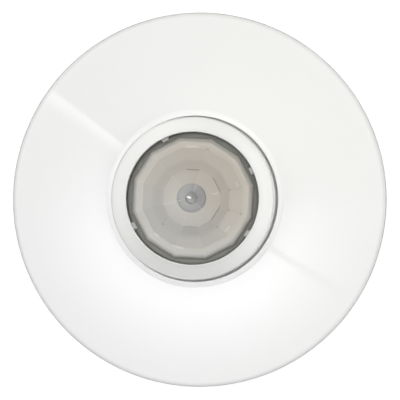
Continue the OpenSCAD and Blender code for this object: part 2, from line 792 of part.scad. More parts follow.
module regulator_leads() color("silver") at(regulator_place) {
    lead_y = (regulator_size[1] + regulator_lead[1]) / 2;
    for (i = [-1, 0, 1]) box([i * regulator_pitch, -lead_y, board_top_z], regulator_lead);
    box([0, lead_y, board_top_z], [regulator_tab_w, regulator_lead[1], regulator_lead[2]]);
}

module cap_can(r) disc(r, board_top_z + cap_base_h, cap_h - cap_base_h);

module flat_capacitor_cans() color("lightgray") {
    at(big_cap_place) cap_can(big_cap_d / 2);
    for (place = small_cap_places) at(place) cap_can(small_cap_d / 2);
}

module cap_base(side) box([0, 0, board_top_z], [side, side, cap_base_h]);

module flat_capacitor_bases() color("black") {
    at(big_cap_place) cap_base(big_cap_d + cap_base_margin);
    for (place = small_cap_places) at(place) cap_base(small_cap_d + cap_base_margin);
}

module tall_capacitor() color("midnightblue") at(tall_cap_place)
    disc(tall_cap_d / 2, board_top_z, tall_cap_h);

module tall_capacitor_leads() color("silver") at(tall_cap_place)
    pin_pair(tall_cap_pitch, pin_r, board_z - pin_tail, board_t + pin_tail);

module blocks(places, size) for (place = places) at(place) box([0, 0, board_top_z], size);

module diodes() color("black") blocks(diode_places, diode_size);

module chip_resistors() color("black") blocks(resistor_places, resistor_size);

module chip_capacitors() color("tan") blocks(capacitor_places, capacitor_size);

// ---- Lens ring and lens ----

module lens_ring() color("white") difference() {
    union() {
        rotate_extrude() polygon(concat(
            [[flange_bore_r, skirt_z], [skirt_r, skirt_z], [skirt_r, ring_seat_z], [ring_r, ring_seat_z],
             [ring_r, opening_lip_z]],
            arc([shoulder_centre_r, shoulder_centre_z], ring_shoulder_round, 0, 90 - ring_top_fall, 10),
            arc([crown_r, crown_z - ring_lip_round], ring_lip_round, 90, 180, 8),
            [[opening_r, lip_bottom_z], [slot_r, slot_top_z], [slot_r, shelf_z], [flange_bore_r, shelf_z]]));
        for (a = ring_lug_places) rotate([0, 0, a])
            sector(skirt_r - ring_lug_root, ring_lug_r, skirt_z, ring_lug_h, ring_lug_angle);
        for (a = tab_places) rotate([0, 0, a])
            translate([opening_r - tab_reach, -tab_w / 2, tab_z]) cube([tab_reach + 1, tab_w, tab_h]);
    }
    tube(flange_bore_r - over, groove_r, barb_z - barb_gap, barb_h + 2 * barb_gap);
}

function zone_r(i) = lens_r * lens_zones[i][0];
function zone_z(i) = total_h - lens_drop * lens_zones[i][1];

module fresnel_lens() color("gainsboro") {
    rotate([0, 0, lens_turn]) rotate_extrude($fn = lens_sides) polygon(concat(
        [[0, total_h - dimple_depth], [dimple_d / 4, total_h - dimple_depth * 0.7], [dimple_d / 2, total_h]],
        [for (i = [0:4]) [zone_r(i), zone_z(i)]],
        [[lens_foot_r, flange_z + flange_t], [lens_foot_r, flange_z], [lens_foot_r - lens_wall, flange_z]],
        [for (i = [4:-1:0]) [zone_r(i) - lens_wall * lens_zones[i][0], zone_z(i) - lens_wall]],
        [[dimple_d / 2, total_h - dimple_depth - lens_wall], [0, total_h - dimple_depth - lens_wall]]));
    tube(lens_foot_r - lens_wall / 2, flange_r, flange_z, flange_t);
}

module lens_gasket() color("dimgray") tube(gasket_in_r, flange_r, gasket_z, gasket_t);

module lens_retainer() color("whitesmoke") {
    tube(retainer_in_r, retainer_r, retainer_z, retainer_h);
    for (a = ring_lug_places) rotate([0, 0, a])
        sector(retainer_r - barb_root, barb_r, barb_z, barb_h, barb_angle);
}

// ---- Which parts to draw ----

mounting_plate();
front_cover();
back_housing();
housing_screws();
circuit_board();
board_screws();
sensor_holder();
heat_sensor_base();
heat_sensor_can();
heat_sensor_window();
heat_sensor_crystal();
heat_sensor_leads();
indicator_led();
indicator_leads();
light_sensor();
light_sensor_leads();
switch_body();
switch_terminals();
setup_button();
trimmer_bodies();
trimmer_terminals();
time_dial();
light_dial();
relay_case();
relay_pins();
terminal_block();
terminal_screws();
terminal_clamps();
terminal_pins();
controller_chip();
controller_leads();
amplifier_chip();
amplifier_leads();
voltage_regulator();
regulator_leads();
flat_capacitor_cans();
flat_capacitor_bases();
tall_capacitor();
tall_capacitor_leads();
diodes();
chip_resistors();
chip_capacitors();
lens_ring();
fresnel_lens();
lens_gasket();
lens_retainer();
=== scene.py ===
# %% [markdown]
# # Dressing a round ceiling motion sensor
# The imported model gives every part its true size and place. This lesson keeps that model as a
# fixed frame and gives it its looks: smooth turned shells, a faceted milky lens, soft edges on the
# moulded parts, and a finish for each material. All lengths are in metres. The sensor lies on its
# flat back, so +Z runs out of the ceiling and through the middle of the lens.

import json
import math

import bmesh
import bpy
from mathutils import Matrix, Vector


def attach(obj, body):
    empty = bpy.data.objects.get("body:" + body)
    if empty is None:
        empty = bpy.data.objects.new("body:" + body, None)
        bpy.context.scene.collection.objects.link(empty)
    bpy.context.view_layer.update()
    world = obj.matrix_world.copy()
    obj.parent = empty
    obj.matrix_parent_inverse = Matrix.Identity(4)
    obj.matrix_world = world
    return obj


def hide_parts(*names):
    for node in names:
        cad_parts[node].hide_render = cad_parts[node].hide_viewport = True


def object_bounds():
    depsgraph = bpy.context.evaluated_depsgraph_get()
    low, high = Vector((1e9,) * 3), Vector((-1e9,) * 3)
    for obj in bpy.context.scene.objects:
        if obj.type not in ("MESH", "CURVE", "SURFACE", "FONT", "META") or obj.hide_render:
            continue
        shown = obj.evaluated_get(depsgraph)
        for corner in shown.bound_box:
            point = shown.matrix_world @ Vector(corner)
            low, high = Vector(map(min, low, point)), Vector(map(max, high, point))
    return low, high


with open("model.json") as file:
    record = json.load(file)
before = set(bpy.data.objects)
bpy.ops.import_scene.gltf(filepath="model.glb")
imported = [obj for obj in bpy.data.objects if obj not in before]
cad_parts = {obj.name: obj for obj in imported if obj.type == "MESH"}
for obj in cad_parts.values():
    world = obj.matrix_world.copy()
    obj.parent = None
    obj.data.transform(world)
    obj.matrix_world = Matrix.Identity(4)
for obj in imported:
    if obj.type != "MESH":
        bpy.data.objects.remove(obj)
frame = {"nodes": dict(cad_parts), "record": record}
MM = 0.001
cad_low, cad_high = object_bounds()
print("the packed model is", [round(side / MM, 2) for side in cad_high - cad_low], "mm")

# %% [markdown]
# ## The camera
# A catalogue picture of a ceiling sensor looks almost straight at the lens. A long lens far away
# keeps the disc round. Tilting the view a few degrees to one side shows a sliver of the ring's
# outer wall, which is what tells the eye that the ring stands proud of the cover. The camera's
# three axes are worked out one by one, because a camera that looks almost straight down has no
# clear "up": here +Y is made to run up the picture.

# %% The camera
VIEW_DISTANCE = 600 * MM
VIEW_TILT = math.radians(3.4)
VIEW_TURN = math.radians(-10.8)
AIM = Vector((0.2 * MM, -0.13 * MM, 0))
LENS_LENGTH = 173.9
SENSOR_WIDTH = 36


def polar(radius, angle, z=0.0):
    """The point at that radius and angle (in radians) round the Z axis."""
    return Vector((radius * math.cos(angle), radius * math.sin(angle), z))


camera_data = bpy.data.cameras.new("camera")
camera_data.lens = LENS_LENGTH
camera_data.sensor_width = SENSOR_WIDTH
camera_data.clip_start = 10 * MM
camera_data.clip_end = 20
camera = bpy.data.objects.new("camera", camera_data)
sideways = VIEW_DISTANCE * math.sin(VIEW_TILT)
camera.location = AIM + polar(sideways, VIEW_TURN, VIEW_DISTANCE * math.cos(VIEW_TILT))
backward = (camera.location - AIM).normalized()
rightward = Vector((0, 1, 0)).cross(backward).normalized()
upward = backward.cross(rightward)
camera.rotation_mode = "QUATERNION"
camera.rotation_quaternion = Matrix((rightward, upward, backward)).transposed().to_quaternion()
bpy.context.scene.collection.objects.link(camera)
bpy.context.scene.camera = camera
bpy.context.scene.view_settings.view_transform = "Standard"
print("the camera stands", round(camera.location.z / MM), "mm over the ceiling plate")

# %% [markdown]
# ## Writing node trees as sums
# Shader and geometry trees are easier to read as formulas. `Wire` wraps one output socket. An
# operator on two wires, or on a wire and a number, adds the Math node for it. `Nodes.node` makes
# any other node: first its settings, then the values and links of its sockets.

# %% Node trees as formulas
class Wire:
    """One output socket. Arithmetic on it adds Math nodes."""

    def __init__(self, nodes, socket):
        self.nodes = nodes
        self.socket = socket

    def math(self, operation, *others):
        """The Math node with this wire as its first value."""
        return self.nodes.math(operation, self, *others)

    def __add__(self, other):
        return self.math("ADD", other)

    __radd__ = __add__

    def __sub__(self, other):
        return self.math("SUBTRACT", other)

    def __rsub__(self, other):
        return self.nodes.math("SUBTRACT", other, self)

    def __mul__(self, other):
        return self.math("MULTIPLY", other)

    __rmul__ = __mul__

    def __truediv__(self, other):
        return self.math("DIVIDE", other)

    def __rtruediv__(self, other):
        return self.nodes.math("DIVIDE", other, self)

    def __gt__(self, other):
        return self.math("GREATER_THAN", other)

    def __lt__(self, other):
        return self.math("LESS_THAN", other)

    def __mod__(self, other):
        return self.math("FLOORED_MODULO", other)

    def __abs__(self):
        return self.math("ABSOLUTE")

    def smooth(self, low, high):
        """0 below low, 1 above high, and an eased rise between them."""
        return self.nodes.node(
            "ShaderNodeMapRange",
            {"interpolation_type": "SMOOTHSTEP"},
            {"Value": self, "From Min": low, "From Max": high},
        )


class Nodes:
    """A node tree that is filled by formulas."""

    def __init__(self, tree):
        self.tree = tree

    def node(self, kind, settings=None, sockets=None, out=0):
        made = self.tree.nodes.new(kind)
        for name, value in (settings or {}).items():
            setattr(made, name, value)
        for name, value in (sockets or {}).items():
            if isinstance(value, Wire):
                self.tree.links.new(value.socket, made.inputs[name])
            else:
                made.inputs[name].default_value = value
        return Wire(self, made.outputs[out]) if made.outputs else made

    def math(self, operation, *values):
        """The Math node for that operation on the values."""
        return self.node("ShaderNodeMath", {"operation": operation}, dict(enumerate(values)))

    def blend(self, share, low, high):
        """The colour low where share is 0 and high where it is 1."""
        return self.node("ShaderNodeMix", {"data_type": "RGBA"}, {0: share, 6: low, 7: high}, out=2)

    def pick(self, share, low, high):
        """The number low where share is 0 and high where it is 1."""
        return self.node("ShaderNodeMix", {"data_type": "FLOAT"}, {0: share, 2: low, 3: high})

    def scaled(self, colour, factor):
        """The colour times factor."""
        return self.node(
            "ShaderNodeVectorMath", {"operation": "SCALE"}, {"Vector": colour, "Scale": factor})

    def axes(self, vector, names="XYZ"):
        """The vector's numbers along the named axes."""
        return [
            self.node("ShaderNodeSeparateXYZ", {}, {"Vector": vector}, out=axis) for axis in names]


print("formula helpers ready")

# %% [markdown]
# Objects and materials are made the same way all through the lesson. A material starts with its
# output node and one shader node, and the shader's sockets are then set or wired by name.

# %% Objects and materials
def mesh_object(name, mesh):
    """An object at the origin that shows the mesh."""
    made = bpy.data.objects.new(name, mesh)
    bpy.context.scene.collection.objects.link(made)
    return made


def shader(name, family="ShaderNodeBsdfPrincipled"):
    """A new material, its nodes, and the shader node that feeds its output."""
    material = bpy.data.materials.new(name)
    material.use_nodes = True
    material.node_tree.nodes.clear()
    nodes = Nodes(material.node_tree)
    output = material.node_tree.nodes.new("ShaderNodeOutputMaterial")
    surface = material.node_tree.nodes.new(family)
    material.node_tree.links.new(surface.outputs[0], output.inputs["Surface"])
    return material, nodes, surface


def wire_up(nodes, surface, sockets):
    """Sets or links the sockets of a shader node."""
    for name, value in sockets.items():
        if isinstance(value, Wire):
            nodes.tree.links.new(value.socket, surface.inputs[name])
        else:
            surface.inputs[name].default_value = value


print("object and material helpers ready")

# %% [markdown]
# ## The floor and the light
# The sensor is shown on a plain white ground that throws almost no shadow, so the floor gives a
# little light of its own and takes the rest from the room.

# %% The floor
FLOOR_RADIUS = 6.0
FLOOR_LIGHT = 0.72
FLOOR_DROP = 0.1 * MM
PAPER_TINTS = (0.40, 0.40, 0.395, 1), (0.42, 0.42, 0.42, 1)
floor_mesh = bpy.data.meshes.new("floor")
floor_shape = bmesh.new()
bmesh.ops.create_circle(floor_shape, cap_ends=True, segments=96, radius=FLOOR_RADIUS)
floor_shape.to_mesh(floor_mesh)
floor_shape.free()
floor = mesh_object("floor", floor_mesh)
floor.location.z = cad_low.z - FLOOR_DROP
floor_paint, floor_nodes, floor_surface = shader("floor_paper")
paper_mottle = floor_nodes.node("ShaderNodeTexNoise", {}, {"Scale": 8.0, "Detail": 2.0})
paper_white = floor_nodes.blend(paper_mottle, *PAPER_TINTS)
wire_up(floor_nodes, floor_surface, {
    "Base Color": paper_white, "Roughness": 0.9, "Specular IOR Level": 0.0,
    "Emission Color": (1, 1, 1, 1), "Emission Strength": FLOOR_LIGHT})
floor_mesh.materials.append(floor_paint)
floor.visible_glossy = False
floor.visible_diffuse = False
print("the floor lies", round(floor.location.z / MM, 2), "mm off the plate's back")

# %% [markdown]
# ### The room
# The room is one formula on the direction that a ray leaves in: how far round it points and how
# high. It is made up for this sensor: three soft lights, all far away, are added to a pale base.

# %% Windows of light
ROOM_BASE = 0.05
world = bpy.data.worlds.new("room")
bpy.context.scene.world = world
world.use_nodes = True
world.node_tree.nodes.clear()
room = Nodes(world.node_tree)
x, y, z = room.axes(room.node("ShaderNodeTexCoord", {}, {}, out="Generated"))
turn = y.math("ARCTAN2", x) % math.tau
lift = z.math("ARCSINE") * (180 / math.pi)


def window(value, start, full, fade, end):
    """1 from full to fade, and softly down to 0 at start and at end."""
    return value.smooth(start, full) * (1 - value.smooth(fade, end))


def past(turn, low, high):
    """0 before low and 1 after high, which are degrees on a turn in radians."""
    return turn.smooth(math.radians(low), math.radians(high))


def towards(turn, degrees):
    """1 at that angle, -1 on the opposite side and an even wave between."""
    return (turn - math.radians(degrees)).math("COSINE")


print("the room's base glow is", ROOM_BASE)

# %% [markdown]
# The side light is a low band all the way round, a little stronger on the upper right. The cone
# doesn't mirror it to the camera, so it only brightens the plastic.

# %% The side light
SIDE_GLOW = 6.7
SIDE_TURN = 40
SIDE_LEAN = 0.185
SIDE_HEIGHTS = (8, 12, 15.5, 18.5)
side_light = (1.0 + towards(turn, SIDE_TURN) * SIDE_LEAN) * window(lift, *SIDE_HEIGHTS) * SIDE_GLOW
print("the side light stands", SIDE_HEIGHTS[0], "to", SIDE_HEIGHTS[-1], "degrees high")

# %% [markdown]
# The overhead light is a wide dish with a shaded middle, open on the lower left. The crown of the
# ring mirrors it, so the crown is bright except on that side.

# %% The overhead light
DISH_GLOW = 4.1
DISH_MIDDLE_GLOW = 1.1
DISH_EDGES = (10, 16, 28, 34)
DISH_OPEN_TURN = -120
DISH_ARC = (25, 112, 290, 355)
DISH_LEVEL = 0.98
DISH_LEAN_TURN, DISH_LEAN = 140, 0.1
DISH_DIP_TURN, DISH_DIP_REACH, DISH_DIP = 80, 50, 0.3
tip = 90 - lift
dish_turn = (turn - math.radians(DISH_OPEN_TURN)) % math.tau
dish_arc = window(dish_turn, *(math.radians(degrees) for degrees in DISH_ARC))
dish_middle = 1 - tip.smooth(*DISH_EDGES[:2])
dish_dip = 1 - past(abs(turn - math.radians(DISH_DIP_TURN)), 0, DISH_DIP_REACH)
dish_level = DISH_LEVEL + towards(turn, DISH_LEAN_TURN) * DISH_LEAN - dish_dip * DISH_DIP
overhead_light = (
    dish_arc * window(tip, *DISH_EDGES) * dish_level * DISH_GLOW + dish_middle * DISH_MIDDLE_GLOW)
print("the dish spans", DISH_EDGES[0], "to", DISH_EDGES[-1], "degrees off the zenith")

# %% [markdown]
# The gloss cover is a cone, so it mirrors one narrow ring of the room, tilted because the view is.
# The long low light's heights are counted from that ring. It runs from the upper left round the
# bottom to the right, where it fades, and grows brighter with height. Its upper end has a bright
# edge and a long faint glow. That edge and a dark seam show in the cover as straight lines.

# %% The long low light
LOW_GLOW = 4.75
LOW_HEIGHTS = (20.5, 22.5, 27, 28.5)
LOW_RISE = (22.8, 26.7)
LOW_FILL = (148, 205)
LOW_START = 144.9
LOW_EDGE = 0.2
LOW_FADE = (290, 400)
LOW_GAP_TURN = 60
END_GLOW, END_REACH = 2.0, (0.3, 6.5)
TAIL_REACH, TAIL_GLOW, TAIL_RISE, TAIL_RISE_GLOW = (8, 45), 0.25, (24.4, 26.2), 0.7
SEAM_TURN, SEAM_REACH, SEAM_DEPTH = 325.4, (0.8, 2.9), 0.75
height = lift - (turn - VIEW_TURN).math("COSINE") * math.degrees(VIEW_TILT)
low_rise = height.smooth(*LOW_RISE) * LOW_GLOW * past(turn, *LOW_FILL)
past_start = turn - math.radians(LOW_START)
upper_end = (1 - past(past_start, *END_REACH)) * END_GLOW + (1 - past(past_start, *TAIL_REACH)) * (
    TAIL_GLOW + height.smooth(*TAIL_RISE) * TAIL_RISE_GLOW)
low_turn = (turn - math.radians(LOW_GAP_TURN)) % math.tau
low_span = past(turn, LOW_START - LOW_EDGE, LOW_START + LOW_EDGE) * (
    1 - past(low_turn, *(degrees - LOW_GAP_TURN for degrees in LOW_FADE)))
seam = 1 - (1 - past(abs(turn - math.radians(SEAM_TURN)), *SEAM_REACH)) * SEAM_DEPTH
low_light = window(height, *LOW_HEIGHTS) * (low_rise + upper_end) * low_span * seam
print("the low light starts at", LOW_START, "degrees and fades from", LOW_FADE[0])

# %% [markdown]
# The overhead light, the base and the upper right of the side light are slightly warm. The low
# light and the rest of the side light are slightly cool.

# %% The lit room
WARM_LIGHT = (1.0, 1.0, 0.975)
COOL_LIGHT = (0.99, 0.99, 1.035)
warm_share = towards(turn, SIDE_TURN) * 0.5 + 0.5
warm = room.scaled(WARM_LIGHT, side_light * warm_share + overhead_light + ROOM_BASE)
cool = room.scaled(COOL_LIGHT, side_light * (1 - warm_share) + low_light)
glow = room.node("ShaderNodeVectorMath", {"operation": "ADD"}, {0: warm, 1: cool})
sky = room.node("ShaderNodeBackground", {}, {"Color": glow, "Strength": 1.0})
room_output = world.node_tree.nodes.new("ShaderNodeOutputWorld")
world.node_tree.links.new(sky.socket, room_output.inputs["Surface"])
print("the room's tree has", len(world.node_tree.nodes), "nodes")

# %% [markdown]
# ### The backdrop
# Seen from the side, the room itself would show behind the sensor. A plain pale dome stands in
# front of it for the camera alone, so it takes no light away and gives none.

# %% The backdrop
BACKDROP_TINTS = (0.985, 0.985, 0.985, 1), (1, 1, 1, 1)
backdrop_shape = bmesh.new()
bmesh.ops.create_uvsphere(backdrop_shape, u_segments=48, v_segments=24, radius=FLOOR_RADIUS)
backdrop_mesh = bpy.data.meshes.new("backdrop")
backdrop_shape.to_mesh(backdrop_mesh)
backdrop_shape.free()
backdrop = mesh_object("backdrop", backdrop_mesh)
for ray in ("diffuse", "glossy", "transmission", "shadow", "volume_scatter"):
    setattr(backdrop, "visible_" + ray, False)
backdrop_paint, backdrop_nodes, backdrop_surface = shader("backdrop_paper", "ShaderNodeEmission")
backdrop_mottle = backdrop_nodes.node("ShaderNodeTexNoise", {}, {"Scale": 2.0, "Detail": 2.0})
backdrop_white = backdrop_nodes.blend(backdrop_mottle, *BACKDROP_TINTS)
wire_up(backdrop_nodes, backdrop_surface, {"Color": backdrop_white, "Strength": 1.0})
backdrop_mesh.materials.append(backdrop_paint)
print("the backdrop is", FLOOR_RADIUS, "m away")

# %% [markdown]
# ## Finishes
# Every part of the sensor is moulded, stamped, plated or fired, so each family of finishes has one
# function. They all work the same way: a colour that drifts a little over the part, a roughness
# that drifts with it, and a fine bump at the true scale of the surface. Patterns read Object
# coordinates, which are metres here, so a pattern of 0.2 mm has a scale of 5000.

# %% Shared pieces of a finish
finishes = {}


def noise(nodes, place, size, detail=2.0):
    """A cloudy pattern from 0 to 1 whose patches are about size across."""
    return nodes.node(
        "ShaderNodeTexNoise", {}, {"Vector": place, "Scale": 1 / size, "Detail": detail})


def bump(nodes, height, depth):
    """A normal that is tilted as if height, from 0 to 1, were depth deep."""
    return nodes.node(
        "ShaderNodeBump", {}, {"Height": height, "Distance": depth, "Strength": 1.0}, out="Normal")


def tinted(colour, factor):
    """The colour times factor, as four numbers."""
    return (*(min(1.0, part * factor) for part in colour), 1)


def finish(name, colour, rough, drift, patch, grain, depth, edges=None, **fixed):
    """A finish whose colour and roughness drift by the share drift, with a fine grain.

    patch is how far apart the drifts are, and depth is how deep the grain is. edges, if given, is a
    function of the distance from the Z axis in mm that scales the colour.
    """
    material, nodes, surface = shader(name)
    place = nodes.node("ShaderNodeTexCoord", {}, {}, out="Object")
    clouds = noise(nodes, place, patch, 3.0)
    specks = noise(nodes, place, grain)
    shade = nodes.blend(clouds, tinted(colour, 1 - drift), tinted(colour, 1 + drift))
    if edges:
        x, y = nodes.axes(place, "XY")
        shade = nodes.scaled(shade, edges((x * x + y * y).math("SQRT") / MM))
    cloudy_rough = rough * (1 - drift) + clouds * (2 * drift * rough)
    wire_up(nodes, surface, {
        "Base Color": shade,
        "Roughness": cloudy_rough + (specks - 0.5) * (rough * 0.2),
        "Normal": bump(nodes, specks, depth),
        **fixed})
    finishes[name] = material


print("finish helpers ready")

# %% [markdown]
# ### Moulded plastics
# The cover and the lens ring come from a polished mould: nearly a mirror, with the long faint waves
# that cooling leaves. The plate, the housing and the small parts come from an etched mould, so they
# are satin and show its fine grain. Three edges get painted light and shade in their colour:
# painted light makes the thin lip round the cover's opening lighter, and painted shade makes the
# cover's rim and the ring's lip greyer.

# %% Moulded plastics
# Painted light on the cover's lip and painted shade on its rim.
LIP_PAINTED_LIGHT = 0.09
RIM_PAINTED_SHADE = 0.28
# Painted shade on the ring's lip, by the dark slot.
RING_LIP_PAINTED_SHADE = 0.05


def cover_painted_light_and_shade(distance):
    """Painted light on the lip of the opening, painted shade on the rim."""
    lip, rim = 1 - distance.smooth(25.8, 27.2), distance.smooth(56.2, 57.8)
    return 1 + lip * LIP_PAINTED_LIGHT - rim * RIM_PAINTED_SHADE


def ring_lip_painted_shade(distance):
    """Painted shade round the opening, by the dark slot."""
    return 1 - (1 - distance.smooth(19.4, 21.4)) * RING_LIP_PAINTED_SHADE


finish("cover_white", (0.81, 0.81, 0.806), 0.052, 0.008, 30 * MM, 0.6 * MM, 0.0006 * MM,
       cover_painted_light_and_shade, IOR=1.5)
finish("ring_white", (0.635, 0.635, 0.627), 0.10, 0.008, 20 * MM, 0.6 * MM, 0.0005 * MM,
       ring_lip_painted_shade, IOR=1.65)
finish("plate_white", (0.76, 0.76, 0.75), 0.42, 0.02, 14 * MM, 0.22 * MM, 0.008 * MM)
finish("housing_white", (0.74, 0.74, 0.73), 0.45, 0.02, 14 * MM, 0.22 * MM, 0.008 * MM)
finish("dial_white", (0.78, 0.78, 0.76), 0.38, 0.02, 2 * MM, 0.15 * MM, 0.004 * MM)
finish("button_white", (0.80, 0.80, 0.78), 0.36, 0.02, 2 * MM, 0.15 * MM, 0.004 * MM)
finish("clamp_grey", (0.50, 0.50, 0.48), 0.45, 0.03, 6 * MM, 0.2 * MM, 0.006 * MM)
finish("black_plastic", (0.018, 0.018, 0.019), 0.42, 0.15, 3 * MM, 0.15 * MM, 0.006 * MM)
finish("trimmer_blue", (0.04, 0.13, 0.46), 0.35, 0.05, 3 * MM, 0.15 * MM, 0.004 * MM)
finish("terminal_green", (0.045, 0.30, 0.10), 0.40, 0.05, 4 * MM, 0.18 * MM, 0.006 * MM)
finish("relay_amber", (0.62, 0.36, 0.09), 0.22, 0.04, 6 * MM, 0.3 * MM, 0.002 * MM)
finish("capacitor_sleeve", (0.012, 0.018, 0.075), 0.28, 0.08, 3 * MM, 0.3 * MM, 0.004 * MM)
finish("led_red", (0.42, 0.01, 0.012), 0.08, 0.05, 2 * MM, 0.3 * MM, 0.001 * MM)
print(len(finishes), "plastic finishes")

# %% [markdown]
# ### Epoxy, ceramic, foam and silicon
# Chips are cast in epoxy that is full of fine silica, so they are matt and speckled. The ceramic
# parts are fired from powder. The sensor's window is a polished slice of coated silicon, dark and
# clean. The gasket is foam with closed cells.

# %% Epoxy, ceramic, foam and silicon
finish("chip_black", (0.028, 0.028, 0.03), 0.62, 0.2, 1.5 * MM, 0.08 * MM, 0.008 * MM)
finish("chip_tan", (0.45, 0.32, 0.19), 0.5, 0.08, 1 * MM, 0.1 * MM, 0.006 * MM)
finish("crystal_ceramic", (0.62, 0.52, 0.36), 0.55, 0.06, 1 * MM, 0.1 * MM, 0.006 * MM)
finish("sensor_window", (0.06, 0.06, 0.068), 0.06, 0.05, 3 * MM, 0.4 * MM, 0.0005 * MM,
       Metallic=0.6)


FOAM_CELL = 0.35 * MM


def foam(name, colour):
    """Closed-cell foam: a bump of small round cells over a mottled colour."""
    material, nodes, surface = shader(name)
    place = nodes.node("ShaderNodeTexCoord", {}, {}, out="Object")
    cells = nodes.node(
        "ShaderNodeTexVoronoi", {}, {"Vector": place, "Scale": 1 / FOAM_CELL}, out="Distance")
    clouds = noise(nodes, place, 3 * MM, 3.0)
    shade = clouds * 0.5 + cells * 0.5
    wire_up(nodes, surface, {
        "Base Color": nodes.blend(shade, tinted(colour, 0.8), tinted(colour, 1.25)),
        "Roughness": 0.8 + clouds * 0.15,
        "Normal": bump(nodes, cells, 0.12 * MM)})
    finishes[name] = material


foam("gasket_grey", (0.70, 0.70, 0.67))
print("the gasket's cells are", round(FOAM_CELL / MM, 2), "mm across")

# %% [markdown]
# ### Metals
# Plated and drawn metals differ in colour and in how far they scatter a reflection. Fine scratches
# run along the part, so the grain is stretched along one axis.

# %% Metals
TARNISH = 0.12


def metal(name, colour, rough, stretch=(1, 1, 8)):
    """A bare or plated metal with stretched scratches and a little tarnish."""
    material, nodes, surface = shader(name)
    place = nodes.node("ShaderNodeTexCoord", {}, {}, out="Object")
    drawn = nodes.node("ShaderNodeMapping", {}, {"Vector": place, "Scale": stretch})
    scratches = noise(nodes, drawn, 0.5 * MM, 4.0)
    clouds = noise(nodes, place, 1.5 * MM, 3.0)
    wire_up(nodes, surface, {
        "Base Color": nodes.blend(clouds, tinted(colour, 1 - TARNISH), tinted(colour, 1)),
        "Metallic": 1.0,
        "Roughness": rough * 0.75 + scratches * (0.3 * rough) + clouds * (0.2 * rough),
        "Normal": bump(nodes, scratches, 0.002 * MM)})
    finishes[name] = material


metal("zinc_steel", (0.66, 0.67, 0.66), 0.34)
metal("tinned_metal", (0.74, 0.74, 0.72), 0.3)
metal("gold_wire", (0.80, 0.58, 0.24), 0.22)
metal("can_steel", (0.70, 0.69, 0.66), 0.2, (1, 1, 0.2))
metal("capacitor_can", (0.76, 0.77, 0.78), 0.26, (1, 1, 0.2))
print(len(finishes), "finishes so far")

# %% [markdown]
# ### The milky lens
# A heat sensor's lens is pressed from white polyethylene, which looks grey where it is thin over
# the dark chamber. Its flat facets each carry a fan of fine grooves, so each facet has its own
# tone. The finish works on the angle round the lens and on the distance from its middle. For a
# lens with twelve corners that distance is measured to the corner, so a zone's edge is a polygon.

# %% The lens grid as sums
LENS_TURN = math.radians(12)
LENS_SIDES = 12
SIDE_ANGLE = math.tau / LENS_SIDES
ZONE_RADII = (4.26, 8.56, 11.28, 15.10, 17.90)


def lens_grid(nodes):
    """Turn from the first corner, distance from the middle and distance to the corner, in mm."""
    place = nodes.node("ShaderNodeTexCoord", {}, {}, out="Object")
    x, y, z = nodes.axes(place)
    turn = (y.math("ARCTAN2", x) - LENS_TURN) % math.tau
    middle = (x * x + y * y).math("SQRT") / MM
    corner = middle * (turn % SIDE_ANGLE - SIDE_ANGLE / 2).math("COSINE") / math.cos(SIDE_ANGLE / 2)
    return place, turn, middle, corner, z / MM


def line(distance, half_width):
    """1 on the line where distance is 0, fading out over half_width."""
    return 1 - abs(distance).smooth(half_width * 0.35, half_width)


def between(value, low, high, soft=0.05):
    """1 where value lies between low and high, with soft edges."""
    return window(value, low - soft, low + soft, high - soft, high + soft)


def near_turn(turn, degrees, half_width):
    """1 in a sector round that angle, fading out over half_width degrees."""
    centre = math.radians(degrees) - LENS_TURN
    away = abs((turn - centre + math.pi) % math.tau - math.pi)
    return 1 - away.smooth(math.radians(half_width) * 0.5, math.radians(half_width))


print("zones end at", ZONE_RADII, "mm")

# %% [markdown]
# First each zone and facet gets its tone, as a share of the base colour. A random share makes
# neighbouring facets differ. Painted shade darkens the third zone, most on the lower right, and
# painted light brightens the fourth zone, most on the right, and the fifth. A slow wave of painted
# light makes the whole lens lighter towards the lower left.

# %% The tones of the zones and facets
FACET_SPREAD = 0.06
PAINTED_LIGHT_TURN, PAINTED_LIGHT_LEAN = 222, 0.13
ZONE_THREE_PAINTED_SHADE, ZONE_THREE_LOW_PAINTED_SHADE = 0.11, 0.05
ZONE_FOUR_PAINTED_LIGHT, ZONE_FOUR_RIGHT_PAINTED_LIGHT = 0.02, 0.05
ZONE_FIVE_PAINTED_LIGHT = 0.105
lens_paint, lens, lens_surface = shader("lens_milky")
place, turn, middle, corner, height = lens_grid(lens)
true_turn = turn + LENS_TURN
side = (turn / SIDE_ANGLE).math("FLOOR")
pair = (side / 2).math("FLOOR")
zone = sum((corner > radius for radius in ZONE_RADII[1:4]), start=middle > ZONE_RADII[0])
facet = zone * 40 + lens.pick(zone > 1.5, pair, side)
facet_tone = lens.node(
    "ShaderNodeTexWhiteNoise", {"noise_dimensions": "1D"}, {"W": facet + 3.0}, out="Value")
tone = 1.0 + (facet_tone - 0.5) * between(zone, 0.5, 3.5) * FACET_SPREAD

zone_three = window(corner, ZONE_RADII[1] - 0.05, ZONE_RADII[1] + 0.05, 10.2, 12.8)
zone_four = between(corner, ZONE_RADII[2], ZONE_RADII[3])
zone_five = corner.smooth(ZONE_RADII[3] - 0.1, ZONE_RADII[3] + 0.1)
# Painted shade on the third zone and painted light on the fourth and fifth.
tone = tone - zone_three * ZONE_THREE_PAINTED_SHADE
tone = tone - zone_three * near_turn(turn, 300, 60) * ZONE_THREE_LOW_PAINTED_SHADE
tone = tone + zone_four * (near_turn(turn, 335, 42) * ZONE_FOUR_RIGHT_PAINTED_LIGHT + ZONE_FOUR_PAINTED_LIGHT)
tone = tone + zone_five * ZONE_FIVE_PAINTED_LIGHT
# Painted light: a slow wave, lighter towards the lower left.
tone = tone * (1 + towards(true_turn, PAINTED_LIGHT_TURN) * (
    PAINTED_LIGHT_LEAN - zone_three * 0.05 - zone_four * 0.08 - zone_five * 0.05))
print("the lens has", LENS_SIDES, "facets in each outer zone")
